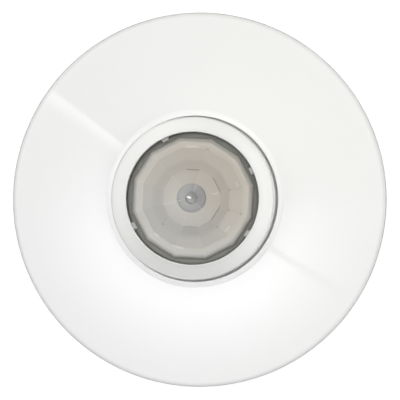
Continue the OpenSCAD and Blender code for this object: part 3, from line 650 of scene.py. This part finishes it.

# %% [markdown]
# Painted highlights run as light lines along the corners between facets and along part of the
# fourth zone's outer edge, and as short bars and strokes on some facets' edges. The middle has
# three sectors, each with its own tone of painted light and shade, and painted highlight lines
# between them.

# %% Painted highlight lines and bars
EDGE_HIGHLIGHT, CORNER_HIGHLIGHT, INNER_HIGHLIGHT, FAN_HIGHLIGHT = 0.16, 0.05, 0.09, 0.30
BAR_HIGHLIGHT, STROKE_HIGHLIGHT = 0.26, 0.16
# Painted highlights, as light lines along edges and corners.
edge_highlight_lines = line(corner - ZONE_RADII[3], 0.22) * near_turn(turn, 185, 75) * EDGE_HIGHLIGHT
from_corner = (turn + SIDE_ANGLE / 2) % SIDE_ANGLE - SIDE_ANGLE / 2
corner_highlight_lines = line(from_corner, 0.012) * (zone > 1.5) * CORNER_HIGHLIGHT
from_pair = (turn + SIDE_ANGLE) % (2 * SIDE_ANGLE) - SIDE_ANGLE
inner_highlight_lines = line(from_pair, 0.02) * between(zone, 0.5, 1.5) * INNER_HIGHLIGHT
from_sector = turn % (math.tau / 3) - math.tau / 6
fan_highlight_lines = line(from_sector, 0.06) * (zone < 0.5) * between(middle, 1.9, 4.2) * FAN_HIGHLIGHT
# Painted light and shade on the middle's three sectors.
sector_light_and_shade = (zone < 0.5) * (
    near_turn(turn, 132, 62) * 0.12 + near_turn(turn, 252, 62) * 0.05
    + near_turn(turn, 66, 9) * middle.smooth(2.0, 2.6) * 0.1 - near_turn(turn, 345, 50) * 0.06)


def bar(degrees, half_width, radius, half_depth):
    """1 on a short bar across that angle at that radius in mm."""
    return near_turn(turn, degrees, half_width) * line(middle - radius, half_depth)


def stroke(degrees, half_width, low, high):
    """1 on a short line outwards at that angle, between two distances from the middle."""
    return near_turn(turn, degrees, half_width) * between(middle, low, high, 0.2)


# Painted highlights, as short bars and strokes.
highlight_bars = (
    bar(-41, 5.5, 13.75, 0.45) * 0.7 + bar(90, 9, 15.1, 0.35) * 0.8 + bar(226, 4.5, 14.9, 0.4)
    + bar(254, 8.5, 14.85, 0.42) + bar(17, 4, 13.75, 0.4) * 0.6)
highlight_strokes = stroke(10, 2.2, 6.1, 8.0) + stroke(195, 1.6, 4.6, 8.2) * 0.6
tone = tone + edge_highlight_lines + corner_highlight_lines + inner_highlight_lines + fan_highlight_lines + sector_light_and_shade
tone = tone + highlight_bars * BAR_HIGHLIGHT + highlight_strokes * STROKE_HIGHLIGHT
print("the facets' corners are", round(math.degrees(SIDE_ANGLE)), "degrees apart")

# %% [markdown]
# Painted shade darkens parts of the second zone's edge, where it steps down, the edge of a shallow
# ring round the middle, and one side of the middle's edge. Small dark dots sit where faint dark
# lines end. A painted highlight puts a bright speck in the shallow ring, and painted light makes
# the shoulder above the skirt lighter.

# %% Dark marks, painted shade and the middle's painted highlight
DOT_TURNS = (12, -18, -48)
DIMPLE_RADIUS = 1.62
SPECK_PLACE, SPECK_HIGHLIGHT = (-0.72, 0.2), 2.6
SHOULDER_PAINTED_LIGHT = 0.35


def at_turns(turns, half_width):
    """1 near each of these angles."""
    return sum((near_turn(turn, degrees, half_width) for degrees in turns), start=0)


# Painted shade along parts of the second zone's edge, where it steps down.
groove = line(corner - ZONE_RADII[1], 0.24) * (
    at_turns((27, 327), 22) + near_turn(turn, 87, 17) + near_turn(turn, 267, 17) * 0.4)
dots = line(corner - ZONE_RADII[2], 0.4) * at_turns((*DOT_TURNS, 222), 2.2)
dots = dots + line(corner - ZONE_RADII[3], 0.4) * at_turns((-18, 72), 1.7)
seams = between(corner, ZONE_RADII[2], ZONE_RADII[3]) * at_turns(DOT_TURNS, 0.9)
# Painted shade on the edge of the middle's shallow ring and on one side of the middle's edge.
dimple_edge_shade = line(middle - DIMPLE_RADIUS, 0.3) * (0.15 + near_turn(turn, 222, 70) * 0.85)
rim_shade = line(middle - ZONE_RADII[0] + 0.12, 0.3) * (
    near_turn(turn, 5, 62) + near_turn(turn, 165, 40) * 0.4)
dark = groove * 0.40 + dots * 0.22 + seams * 0.10 + dimple_edge_shade * 0.42 + rim_shade * 0.25
# A painted highlight: a bright speck in the middle's shallow ring.
speck_x = middle * true_turn.math("COSINE") - SPECK_PLACE[0]
speck_y = middle * true_turn.math("SINE") - SPECK_PLACE[1] + speck_x * 0.22
speck_highlight = 1 - (speck_x * speck_x * 0.95 + speck_y * speck_y * 5).math("SQRT").smooth(0.35, 0.8)
cloud = noise(lens, place, 5 * MM, 3.0)
grain = noise(lens, place, 0.3 * MM)
# Painted light on the shoulder above the skirt.
shoulder = between(height, 33.5, 34.9, 0.4)
tone = tone * (1 - dark) + (cloud - 0.5) * 0.05 + (grain - 0.5) * 0.02
tone = tone * (1 + shoulder * SHOULDER_PAINTED_LIGHT) + speck_highlight * SPECK_HIGHLIGHT
print("the lens has", len(DOT_TURNS), "seams")

# %% [markdown]
# The grooves of one facet are parts of circles about the facet's own middle, about 0.4 mm apart.
# They are drawn as a zig-zag bump, in the sector of each facet, so that they meet along the
# corners as they do in a pressed lens.

# %% The lens grooves
GROOVE_PITCH = 0.42
FACET_MIDDLES = (5.8, 9.9, 13.2)
aim_turn = (turn % SIDE_ANGLE) - SIDE_ANGLE / 2
aim_radius = lens.pick(
    zone > 1.5, FACET_MIDDLES[0], lens.pick(zone > 2.5, FACET_MIDDLES[1], FACET_MIDDLES[2]))
along = middle * aim_turn.math("COSINE") - aim_radius
across = middle * aim_turn.math("SINE")
ring_number = (along * along + across * across).math("SQRT") / GROOVE_PITCH
tooth = abs(ring_number % 1.0 - 0.5) * 2
# The painted highlight line on the fourth zone's edge also raises the bump.
relief = tooth * between(zone, 0.5, 3.5) + 0.5 * (zone < 0.5) + edge_highlight_lines * 2
print("groove pitch", GROOVE_PITCH, "mm")

# %% [markdown]
# The base colour has a painted warm tint towards the upper right and a painted cool tint towards
# the lower left, the colours of the light from those sides. It turns plainer in the outer zone,
# darker with painted shade on the skirt down in the slot, and grey in the middle.

# %% The lens finish
LENS_WARM_LIT = (0.420, 0.388, 0.340, 1)
LENS_COOL_LIT = (0.403, 0.391, 0.362, 1)
LENS_OUTER = (0.392, 0.389, 0.370, 1)
LENS_SKIRT_SHADE = (0.31, 0.31, 0.297, 1)
LENS_CENTRE = (0.262, 0.261, 0.260, 1)
# Painted tint of the light: warmer towards the upper right, cooler towards the lower left.
COOL_LIT_TURN = 235
cool_lit_share = towards(true_turn, COOL_LIT_TURN) * 0.5 + 0.5
cool_lit_share = cool_lit_share + (noise(lens, place, 9 * MM, 1.0) - 0.5) * 0.8
outer_share = corner.smooth(15.6, 17.6) * (0.4 + cool_lit_share * 0.5)
# Painted shade on the skirt, down in the slot.
skirt_shade_share = 1 - height.smooth(33.0, 33.9)
centre_share = 1 - middle.smooth(ZONE_RADII[0] - 0.12, ZONE_RADII[0] + 0.12)
base = lens.blend(cool_lit_share.smooth(0, 1), LENS_WARM_LIT, LENS_COOL_LIT)
base = lens.blend(outer_share, base, LENS_OUTER)
base = lens.blend(skirt_shade_share, base, LENS_SKIRT_SHADE)
base = lens.blend(centre_share, base, LENS_CENTRE)
wire_up(lens, lens_surface, {
    "Base Color": lens.scaled(base, tone + (tooth - 0.5) * 0.03),
    "Roughness": 0.34 + cloud * 0.06 + (1 - centre_share) * 0.06,
    "Normal": bump(lens, relief, 0.010 * MM)})
finishes["lens_milky"] = lens_paint
print("the lens finish has", len(lens.tree.nodes), "nodes")

# %% [markdown]
# ### The circuit board
# A circuit board is glass cloth in epoxy under a green lacquer. Copper tracks show through the
# lacquer as a lighter green. A cell pattern that measures distance in squares, cut into steps,
# gives straight tracks at right angles without drawing each one.

# %% The circuit board
TRACK_CELL = 4.5 * MM
CLOTH_THREAD = 0.5 * MM


def board_finish():
    """Green lacquer over tracks and glass weave."""
    material, nodes, surface = shader("board_green")
    place = nodes.node("ShaderNodeTexCoord", {}, {}, out="Object")
    cells = nodes.node(
        "ShaderNodeTexVoronoi", {"distance": "CHEBYCHEV", "feature": "F1"},
        {"Vector": place, "Scale": 1 / TRACK_CELL, "Randomness": 0.7}, out="Distance")
    tracks = 1 - abs((cells * 7) % 1.0 - 0.5).smooth(0.16, 0.22)
    weave_x, weave_y = (
        (axis * (math.tau / CLOTH_THREAD)).math("SINE") for axis in nodes.axes(place, "XY"))
    weave = weave_x * weave_y
    clouds = noise(nodes, place, 8 * MM, 2.0)
    tint = nodes.blend(tracks, (0.008, 0.085, 0.036, 1), (0.022, 0.20, 0.075, 1))
    wire_up(nodes, surface, {
        "Base Color": nodes.blend(clouds * 0.3, tint, (0.01, 0.11, 0.05, 1)),
        "Roughness": 0.30 + tracks * 0.05 + weave * 0.02,
        "Normal": bump(nodes, tracks * 0.8 + weave * 0.1, 0.035 * MM)})
    finishes["board_green"] = material


board_finish()
print(len(finishes), "finishes so far")

# %% [markdown]
# ### The light sensor's face
# The cell that tells day from night is a ceramic disc with a red-brown track between two silver
# combs, under clear lacquer. Straight stripes stand for the track and the combs' teeth.

# %% The light sensor's face
STRIPE_PITCH = 0.7 * MM


def comb_finish():
    """Stripes of dark sulphide between silver teeth."""
    material, nodes, surface = shader("light_sensor_face")
    place = nodes.node("ShaderNodeTexCoord", {}, {}, out="Object")
    x = nodes.axes(place, "X")[0]
    teeth = abs((x / STRIPE_PITCH) % 1.0 - 0.5).smooth(0.2, 0.28)
    clouds = noise(nodes, place, 0.8 * MM)
    silver = nodes.blend(clouds, (0.55, 0.52, 0.47, 1), (0.66, 0.63, 0.58, 1))
    wire_up(nodes, surface, {
        "Base Color": nodes.blend(teeth, silver, (0.36, 0.10, 0.035, 1)),
        "Roughness": 0.18 + teeth * 0.12,
        "Normal": bump(nodes, teeth, 0.02 * MM)})
    finishes["light_sensor_face"] = material


comb_finish()
slot_of = {part["node"]: part["material_slot"] for part in frame["record"]["subparts"]}
print("finishes still missing:", sorted(set(slot_of.values()) - set(finishes)))

# %% [markdown]
# ## Turned shapes
# The cover and the lens ring are turned shapes: one outline swept round the Z axis. The outline is
# a list of corners in millimetres, each with its own rounding. A point is kept just beside every
# rounding, so that the shading of a wide flat face doesn't bleed into the edge.

# %% Rounded outlines
EDGE_ROOM = 0.3


def eased(corners):
    """A closed outline of (r, z) points from corners (r, z) or (r, z, rounding)."""
    spots = [Vector(corner[:2]) for corner in corners]
    count = len(spots)
    reaches = []
    for i, corner in enumerate(corners):
        before, after = spots[i - 1] - spots[i], spots[(i + 1) % count] - spots[i]
        reaches.append(corner[2] / math.tan(before.angle(after) / 2) if len(corner) > 2 else 0)
    outline = []
    for i, corner in enumerate(corners):
        here = spots[i]
        if not reaches[i]:
            outline.append(here)
            continue
        before, after = spots[i - 1] - here, spots[(i + 1) % count] - here
        room_before = before.length - reaches[i] - reaches[i - 1]
        room_after = after.length - reaches[i] - reaches[(i + 1) % count]
        half = before.angle(after) / 2
        before.normalize()
        after.normalize()
        centre = here + (before + after).normalized() * (corner[2] / math.sin(half))
        start, end = here + before * reaches[i] - centre, here + after * reaches[i] - centre
        steps = max(2, math.ceil((math.pi - 2 * half) / math.radians(9)))
        if room_before > EDGE_ROOM:
            outline.append(centre + start + before * EDGE_ROOM)
        outline += [centre + start.slerp(end, k / steps) * corner[2] for k in range(steps + 1)]
        if room_after > EDGE_ROOM:
            outline.append(centre + end + after * EDGE_ROOM)
    return outline


rounded_square = eased([(0, 0, 1), (9, 0, 1), (9, 9, 1), (0, 9, 1)])
print("a square with 1 mm corners has", len(rounded_square), "points")

# %% Turning an outline
FINE_STEPS = 288
SHARP_EDGE = math.radians(35)


def turned(shape, outline, start=0.0, sweep=360.0, steps=FINE_STEPS, middle=(0, 0)):
    """Adds the outline swept round the Z axis through middle; part of a turn gets end faces."""
    whole = sweep == 360.0
    count = steps if whole else steps + 1
    rings = []
    for i in range(count):
        angle = math.radians(start + sweep * i / steps)
        shift = Vector((*middle, 0)) * MM
        rings.append([shape.verts.new(shift + polar(r * MM, angle, z * MM)) for r, z in outline])
    for i in range(steps):
        here, there = rings[i], rings[(i + 1) % count]
        for k in range(len(outline)):
            n = (k + 1) % len(outline)
            shape.faces.new((here[k], there[k], there[n], here[n]))
    if not whole:
        for ring in (rings[0], rings[-1]):
            shape.faces.new(ring)
    return [vert for ring in rings for vert in ring]


def finished(name, shape):
    """The object that shows the shape: closed, faces outward, smooth with its edges kept."""
    bmesh.ops.remove_doubles(shape, verts=shape.verts, dist=0.0005 * MM)
    bmesh.ops.recalc_face_normals(shape, faces=shape.faces)
    mesh = bpy.data.meshes.new(name)
    shape.to_mesh(mesh)
    shape.free()
    mesh.shade_smooth()
    mesh.set_sharp_from_angle(angle=SHARP_EDGE)
    return mesh_object(name, mesh)


def dressed(piece, finish_name, body, *nodes):
    """Gives the piece its finish, hangs it on its body and lets it stand for the CAD nodes."""
    piece.data.materials.clear()
    piece.data.materials.append(finishes[finish_name])
    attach(piece, body)
    if nodes:
        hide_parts(*nodes)
    triangles = sum(len(face.vertices) - 2 for face in piece.data.polygons)
    print(piece.name, "has", triangles, "triangles")


print("turning helpers ready")

# %% [markdown]
# ### The cover
# The cover is one moulding: a low gloss cone with a rounded rim, a neck that the lens ring turns
# in, three lugs for the ceiling plate and four bosses for the housing's screws. A thin raised lip
# runs round its opening, lightened by painted light, and the rim rolls over in a radius that
# catches a dark line, deepened by painted shade.

# %% The cover's shell
COVER_RADIUS = 57.8
CONE_SLOPE = math.radians(30.78)
CONE_TOP = (26.4, 22.4)
COVER_WALL = 2.0


def cone_height(radius, below=0.0):
    """Height of the cone's face at that radius, or of a face that lies that far below it."""
    drop = (radius - CONE_TOP[0]) * math.tan(CONE_SLOPE)
    return CONE_TOP[1] - drop - below / math.cos(CONE_SLOPE)


cover_shape = bmesh.new()
turned(cover_shape, eased([
    (55.8, 0.5), (COVER_RADIUS, 0.5, 0.35), (COVER_RADIUS, cone_height(COVER_RADIUS), 1.4),
    (26.5, cone_height(26.5), 0.1), (26.2, 22.44, 0.1), (25.05, 23.2, 0.3), (24.78, 23.2, 0.12),
    (24.78, 22.45), (25.1, 22.35), (25.1, 18.4), (27.1, 18.4),
    (27.1, cone_height(27.1, COVER_WALL), 0.4), (55.8, cone_height(55.8, COVER_WALL), 0.5)]))
print("unrounded, the rim's corner would be", round(cone_height(COVER_RADIUS), 2), "mm up")

# %% [markdown]
# The neck's ledge runs between three notches that let the lens ring's lugs through. It, the lugs
# and the bosses are closed solids that bite into the shell, joined in the same mesh.

# %% The cover's ledge, lugs and bosses
NOTCH_ANGLE = 22
for notch in (24, 144, 264):
    turned(cover_shape, eased([(23.7, 18.4, 0.15), (25.3, 18.4), (25.3, 19.6), (23.7, 19.6, 0.15)]),
           notch + NOTCH_ANGLE / 2, 120 - NOTCH_ANGLE, 80)
LUG_ANGLE = 22
for lug in (30, 150, 270):
    turned(cover_shape, eased([(50.7, 0.5, 0.25), (56.6, 0.5), (56.6, 1.5), (50.7, 1.5, 0.25)]),
           lug - LUG_ANGLE / 2, LUG_ANGLE, 20)
BOSS_RADIUS, BOSS_BORE, BOSS_PLACE = 3.2, 1.55, 42.5
BOSS_LOW, BOSS_TOP = 7.4, 20.0
boss_outline = [
    (BOSS_BORE, BOSS_LOW), (BOSS_RADIUS, BOSS_LOW), (BOSS_RADIUS, BOSS_TOP), (BOSS_BORE, BOSS_TOP)]
for angle in (45, 135, 225, 315):
    spot = polar(BOSS_PLACE, math.radians(angle))
    for vert in turned(cover_shape, boss_outline, steps=32, middle=spot.xy):
        if vert.co.z > (BOSS_TOP - 0.1) * MM:
            vert.co.z = cone_height(vert.co.xy.length / MM, COVER_WALL / 2) * MM
cover = finished("cover_shell", cover_shape)
dressed(cover, "cover_white", "sensor_head", "front_cover")

# %% [markdown]
# ### The lens ring
# The ring is the tallest moulding: a wall that leans in slightly, a small rounded shoulder, a crown
# that falls gently outwards and a lip that hangs over the slot round the lens.

# %% The lens ring
ring_shape = bmesh.new()
turned(ring_shape, eased([
    (22.2, 16.7), (23.4, 16.7, 0.15), (23.4, 19.9), (24.8, 19.9, 0.2), (24.8, 22.05),
    (24.45, 22.25), (23.86, 35.0, 0.5), (19.42, 35.95, 0.28), (19.42, 34.0, 0.25),
    (21.4, 32.6, 0.3), (21.4, 29.0), (22.2, 29.0), (22.2, 27.0), (22.9, 27.0), (22.9, 26.0),
    (22.2, 26.0)]))
RING_LUG_ANGLE = 18
for lug in (0, 120, 240):
    turned(ring_shape, eased([(22.9, 16.7), (24.8, 16.7, 0.2), (24.8, 18.1, 0.2), (22.9, 18.1)]),
           lug - RING_LUG_ANGLE / 2, RING_LUG_ANGLE, 18)
lens_ring_piece = finished("lens_ring_shell", ring_shape)
dressed(lens_ring_piece, "ring_white", "lens_ring", "lens_ring")

# %% [markdown]
# Four small tabs reach from under the lip to the lens and hold it in the middle. They are greyer
# than the ring, so they are a piece of their own: rounded blocks, each made beside the Z axis and
# then turned to its place.

# %% The centring tabs
TAB_TURNS = (25, 115, 205, 327)
TAB_SIZE = Vector((2.0, 2.2, 0.9))
TAB_MIDDLE = Vector((19.4, 0, 33.5))
TAB_ROUNDING = 0.34
tab_shape = bmesh.new()
for angle in TAB_TURNS:
    tab = bmesh.ops.create_cube(tab_shape, size=1)["verts"]
    bmesh.ops.scale(tab_shape, verts=tab, vec=TAB_SIZE * MM)
    bmesh.ops.translate(tab_shape, verts=tab, vec=TAB_MIDDLE * MM)
    tab_edges = list({edge for vert in tab for edge in vert.link_edges})
    rounded = bmesh.ops.bevel(
        tab_shape, geom=tab_edges, offset=TAB_ROUNDING * MM, segments=4, profile=0.5,
        affect="EDGES")
    outward, sideward = math.radians(angle), math.radians(angle + 90)
    for vert in {vert for face in rounded["faces"] for vert in face.verts}:
        here = vert.co.copy()
        vert.co = polar(here.x, outward, here.z) + polar(here.y, sideward)
dressed(finished("centring_tabs", tab_shape), "clamp_grey", "lens_ring")

# %% [markdown]
# ### The lens dome
# The lens is a thin dome of five zones. The middle one is round; the others have twelve flat
# facets, and the outermost bends down steeply, over a small bead, to the flange that the clamp
# ring holds. Its shape follows a rule, so Geometry Nodes make it: a grid gets one column for
# each step round the lens and one row for each ring of points, and each point's place is worked out
# from its column and row. A row is a radius, a height and a share of flatness: 0 for round and 1
# for twelve-sided.

# %% The lens dome's rows
LENS_WALL = 0.8
LENS_FOOT = (18.6, 28.4)
FLANGE_RADIUS = 22.0
FLANGE_LOW = 27.8
ROWS = [
    (0.0, 38.98, 0), (1.0, 39.01, 0), (1.42, 39.12, 0), (1.66, 39.34, 0), (1.9, 39.40, 0),
    (3.0, 39.37, 0), (4.12, 39.27, 0), (4.26, 39.20, 0), (4.42, 39.21, 0.05), (5.6, 39.06, 0.35),
    (7.0, 38.82, 0.8),
    (8.40, 38.57, 1), (8.56, 38.50, 1), (8.74, 38.47, 1), (11.12, 37.84, 1), (11.28, 37.77, 1),
    (11.44, 37.73, 1), (14.94, 36.46, 1), (15.10, 36.38, 1), (15.28, 36.29, 1), (16.2, 35.78, 1),
    (17.0, 35.14, 1), (17.6, 34.52, 1), (18.05, 33.85, 1), (18.25, 33.2, 1), (18.4, 32.7, 0.8),
    (18.7, 32.42, 0.4), (19.05, 32.3, 0.1), (19.25, 32.1, 0), (19.3, 31.5, 0), (19.1, 31.1, 0),
    (18.5, 30.9, 0), (*LENS_FOOT, 0), (FLANGE_RADIUS, LENS_FOOT[1], 0),
    (FLANGE_RADIUS, FLANGE_LOW, 0), (LENS_FOOT[0] - LENS_WALL, FLANGE_LOW, 0), (17.3, 31.4, 0.4),
    (17.0, 33.4, 0.8), (16.2, 34.6, 1), (14.6, 35.6, 1), (8.3, 37.7, 1), (4.2, 38.4, 0.4),
    (0.0, 38.2, 0)]
SIDE_STEPS = 12
print("the dome has", len(ROWS), "rows and", SIDE_STEPS * LENS_SIDES, "columns")

# %% The lens dome's node tree
def socket_names(tree, sizes):
    """Adds the named number inputs, a geometry input and output, and returns the identifiers."""
    face = tree.interface
    face.new_socket("Geometry", in_out="INPUT", socket_type="NodeSocketGeometry")
    face.new_socket("Geometry", in_out="OUTPUT", socket_type="NodeSocketGeometry")
    return {name: face.new_socket(name, in_out="INPUT", socket_type=kind).identifier
            for name, kind in sizes.items()}


def baked(name, tree, identifiers, values):
    """The mesh that the tree makes with these values, as a plain object."""
    holder = mesh_object(name + "_maker", bpy.data.meshes.new(name + "_maker"))
    modifier = holder.modifiers.new("maker", "NODES")
    modifier.node_group = tree
    for label, value in values.items():
        modifier[identifiers[label]] = value
    bpy.context.view_layer.update()
    depsgraph = bpy.context.evaluated_depsgraph_get()
    made = bpy.data.meshes.new_from_object(holder.evaluated_get(depsgraph))
    bpy.data.objects.remove(holder)
    made.name = name
    return mesh_object(name, made)


dome_tree = bpy.data.node_groups.new("lens_dome", "GeometryNodeTree")
dome_inputs = socket_names(dome_tree, {
    "Sides": "NodeSocketInt", "Steps per side": "NodeSocketInt", "Turn": "NodeSocketFloat",
    "Finish": "NodeSocketMaterial"})
dome = Nodes(dome_tree)
group_in = dome_tree.nodes.new("NodeGroupInput")
sides, side_steps, dome_turn, dome_finish = (
    Wire(dome, group_in.outputs[name]) for name in ("Sides", "Steps per side", "Turn", "Finish"))
columns = sides * side_steps
dome_grid = dome.node(
    "GeometryNodeMeshGrid", {}, {"Vertices X": columns + 1, "Vertices Y": len(ROWS)})
index = dome.node("GeometryNodeInputIndex")
column = (index / len(ROWS)).math("FLOOR")
row = index % len(ROWS)


def by_row(part):
    """The value of that part of ROWS for the point's row, as a sum of steps."""
    total = ROWS[0][part]
    for number, (before, after) in enumerate(zip(ROWS, ROWS[1:])):
        if after[part] != before[part]:
            total = (row > number + 0.5) * (after[part] - before[part]) + total
    return total


angle_round = column * (math.tau / columns)
from_middle = angle_round % (math.tau / sides) - math.pi / sides
flatness = (math.pi / sides).math("COSINE") / from_middle.math("COSINE")
radius = by_row(0) * MM * (1 + by_row(2) * (flatness - 1))
heading = angle_round + dome_turn
dome_place = dome.node("ShaderNodeCombineXYZ", {}, {
    "X": radius * heading.math("COSINE"), "Y": radius * heading.math("SINE"), "Z": by_row(1) * MM})
dome_moved = dome.node(
    "GeometryNodeSetPosition", {}, {"Geometry": dome_grid, "Position": dome_place})
dome_closed = dome.node(
    "GeometryNodeMergeByDistance", {}, {"Geometry": dome_moved, "Distance": 0.002 * MM})
dome_real = dome.node("GeometryNodeRealizeInstances", {}, {"Geometry": dome_closed})
dome_done = dome.node(
    "GeometryNodeSetMaterial", {}, {"Geometry": dome_real, "Material": dome_finish})
group_out = dome_tree.nodes.new("NodeGroupOutput")
dome_tree.links.new(dome_done.socket, group_out.inputs["Geometry"])
print("the dome's tree has", len(dome_tree.nodes), "nodes")

# %% The lens dome
def tidied(piece, angle):
    """Faces outward, smooth shading with edges kept above that angle."""
    shape = bmesh.new()
    shape.from_mesh(piece.data)
    bmesh.ops.dissolve_degenerate(shape, dist=0.0005 * MM, edges=shape.edges)
    bmesh.ops.recalc_face_normals(shape, faces=shape.faces)
    open_edges = [edge for edge in shape.edges if len(edge.link_faces) != 2]
    shape.to_mesh(piece.data)
    shape.free()
    piece.data.shade_smooth()
    piece.data.set_sharp_from_angle(angle=math.radians(angle))
    print(piece.name, "has", len(open_edges), "open edges")


lens_dome = baked("lens_dome", dome_tree, dome_inputs, {
    "Sides": LENS_SIDES, "Steps per side": SIDE_STEPS, "Turn": LENS_TURN,
    "Finish": finishes["lens_milky"]})
tidied(lens_dome, 40)
dressed(lens_dome, "lens_milky", "lens_ring", "fresnel_lens")

# %% [markdown]
# ## Soft edges on the moulded parts
# No moulded or cut edge is perfectly sharp: a radius of a few tenths of a millimetre catches a thin
# line of light. The parts seen from behind get such edges. A copy of the part's own mesh has its
# flat faces joined, then a bevel rounds every edge that turns by more than 30 degrees.

# %% Softened copies
FLAT_WITHIN = math.radians(1)
ROUND_ABOVE = math.radians(30)
SHARP_ABOVE = math.radians(32)


def softened(node, width, body):
    """A copy of the CAD node with rounded edges, which stands for the node."""
    shape = bmesh.new()
    shape.from_mesh(frame["nodes"][node].data)
    bmesh.ops.remove_doubles(shape, verts=shape.verts, dist=0.001 * MM)
    bmesh.ops.dissolve_limit(
        shape, angle_limit=FLAT_WITHIN, verts=shape.verts, edges=shape.edges, delimit={"NORMAL"})
    mesh = bpy.data.meshes.new(node + "_soft")
    shape.to_mesh(mesh)
    shape.free()
    piece = mesh_object(node + "_soft", mesh)
    edge = piece.modifiers.new("edges", "BEVEL")
    edge.width = width * MM
    edge.segments = 2
    edge.limit_method = "ANGLE"
    edge.angle_limit = ROUND_ABOVE
    bpy.context.view_layer.update()
    depsgraph = bpy.context.evaluated_depsgraph_get()
    rounded = bpy.data.meshes.new_from_object(piece.evaluated_get(depsgraph))
    piece.modifiers.remove(edge)
    piece.data = rounded
    rounded.shade_smooth()
    rounded.set_sharp_from_angle(angle=SHARP_ABOVE)
    dressed(piece, slot_of[node], body, node)


softened("mounting_plate", 0.25, "mounting_plate")
softened("back_housing", 0.2, "sensor_head")
softened("terminal_block", 0.12, "sensor_head")

# %% [markdown]
# ## Finishes for the rest
# Every other part keeps its CAD shape. Its mesh is left alone, and only its material is set, from
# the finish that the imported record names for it.

# %% The CAD parts' finishes
kept = {name: node for name, node in frame["nodes"].items() if not node.hide_render}
for name, node in kept.items():
    node.data.materials.clear()
    node.data.materials.append(finishes[slot_of[name]])
print(len(kept), "CAD parts keep their shape")
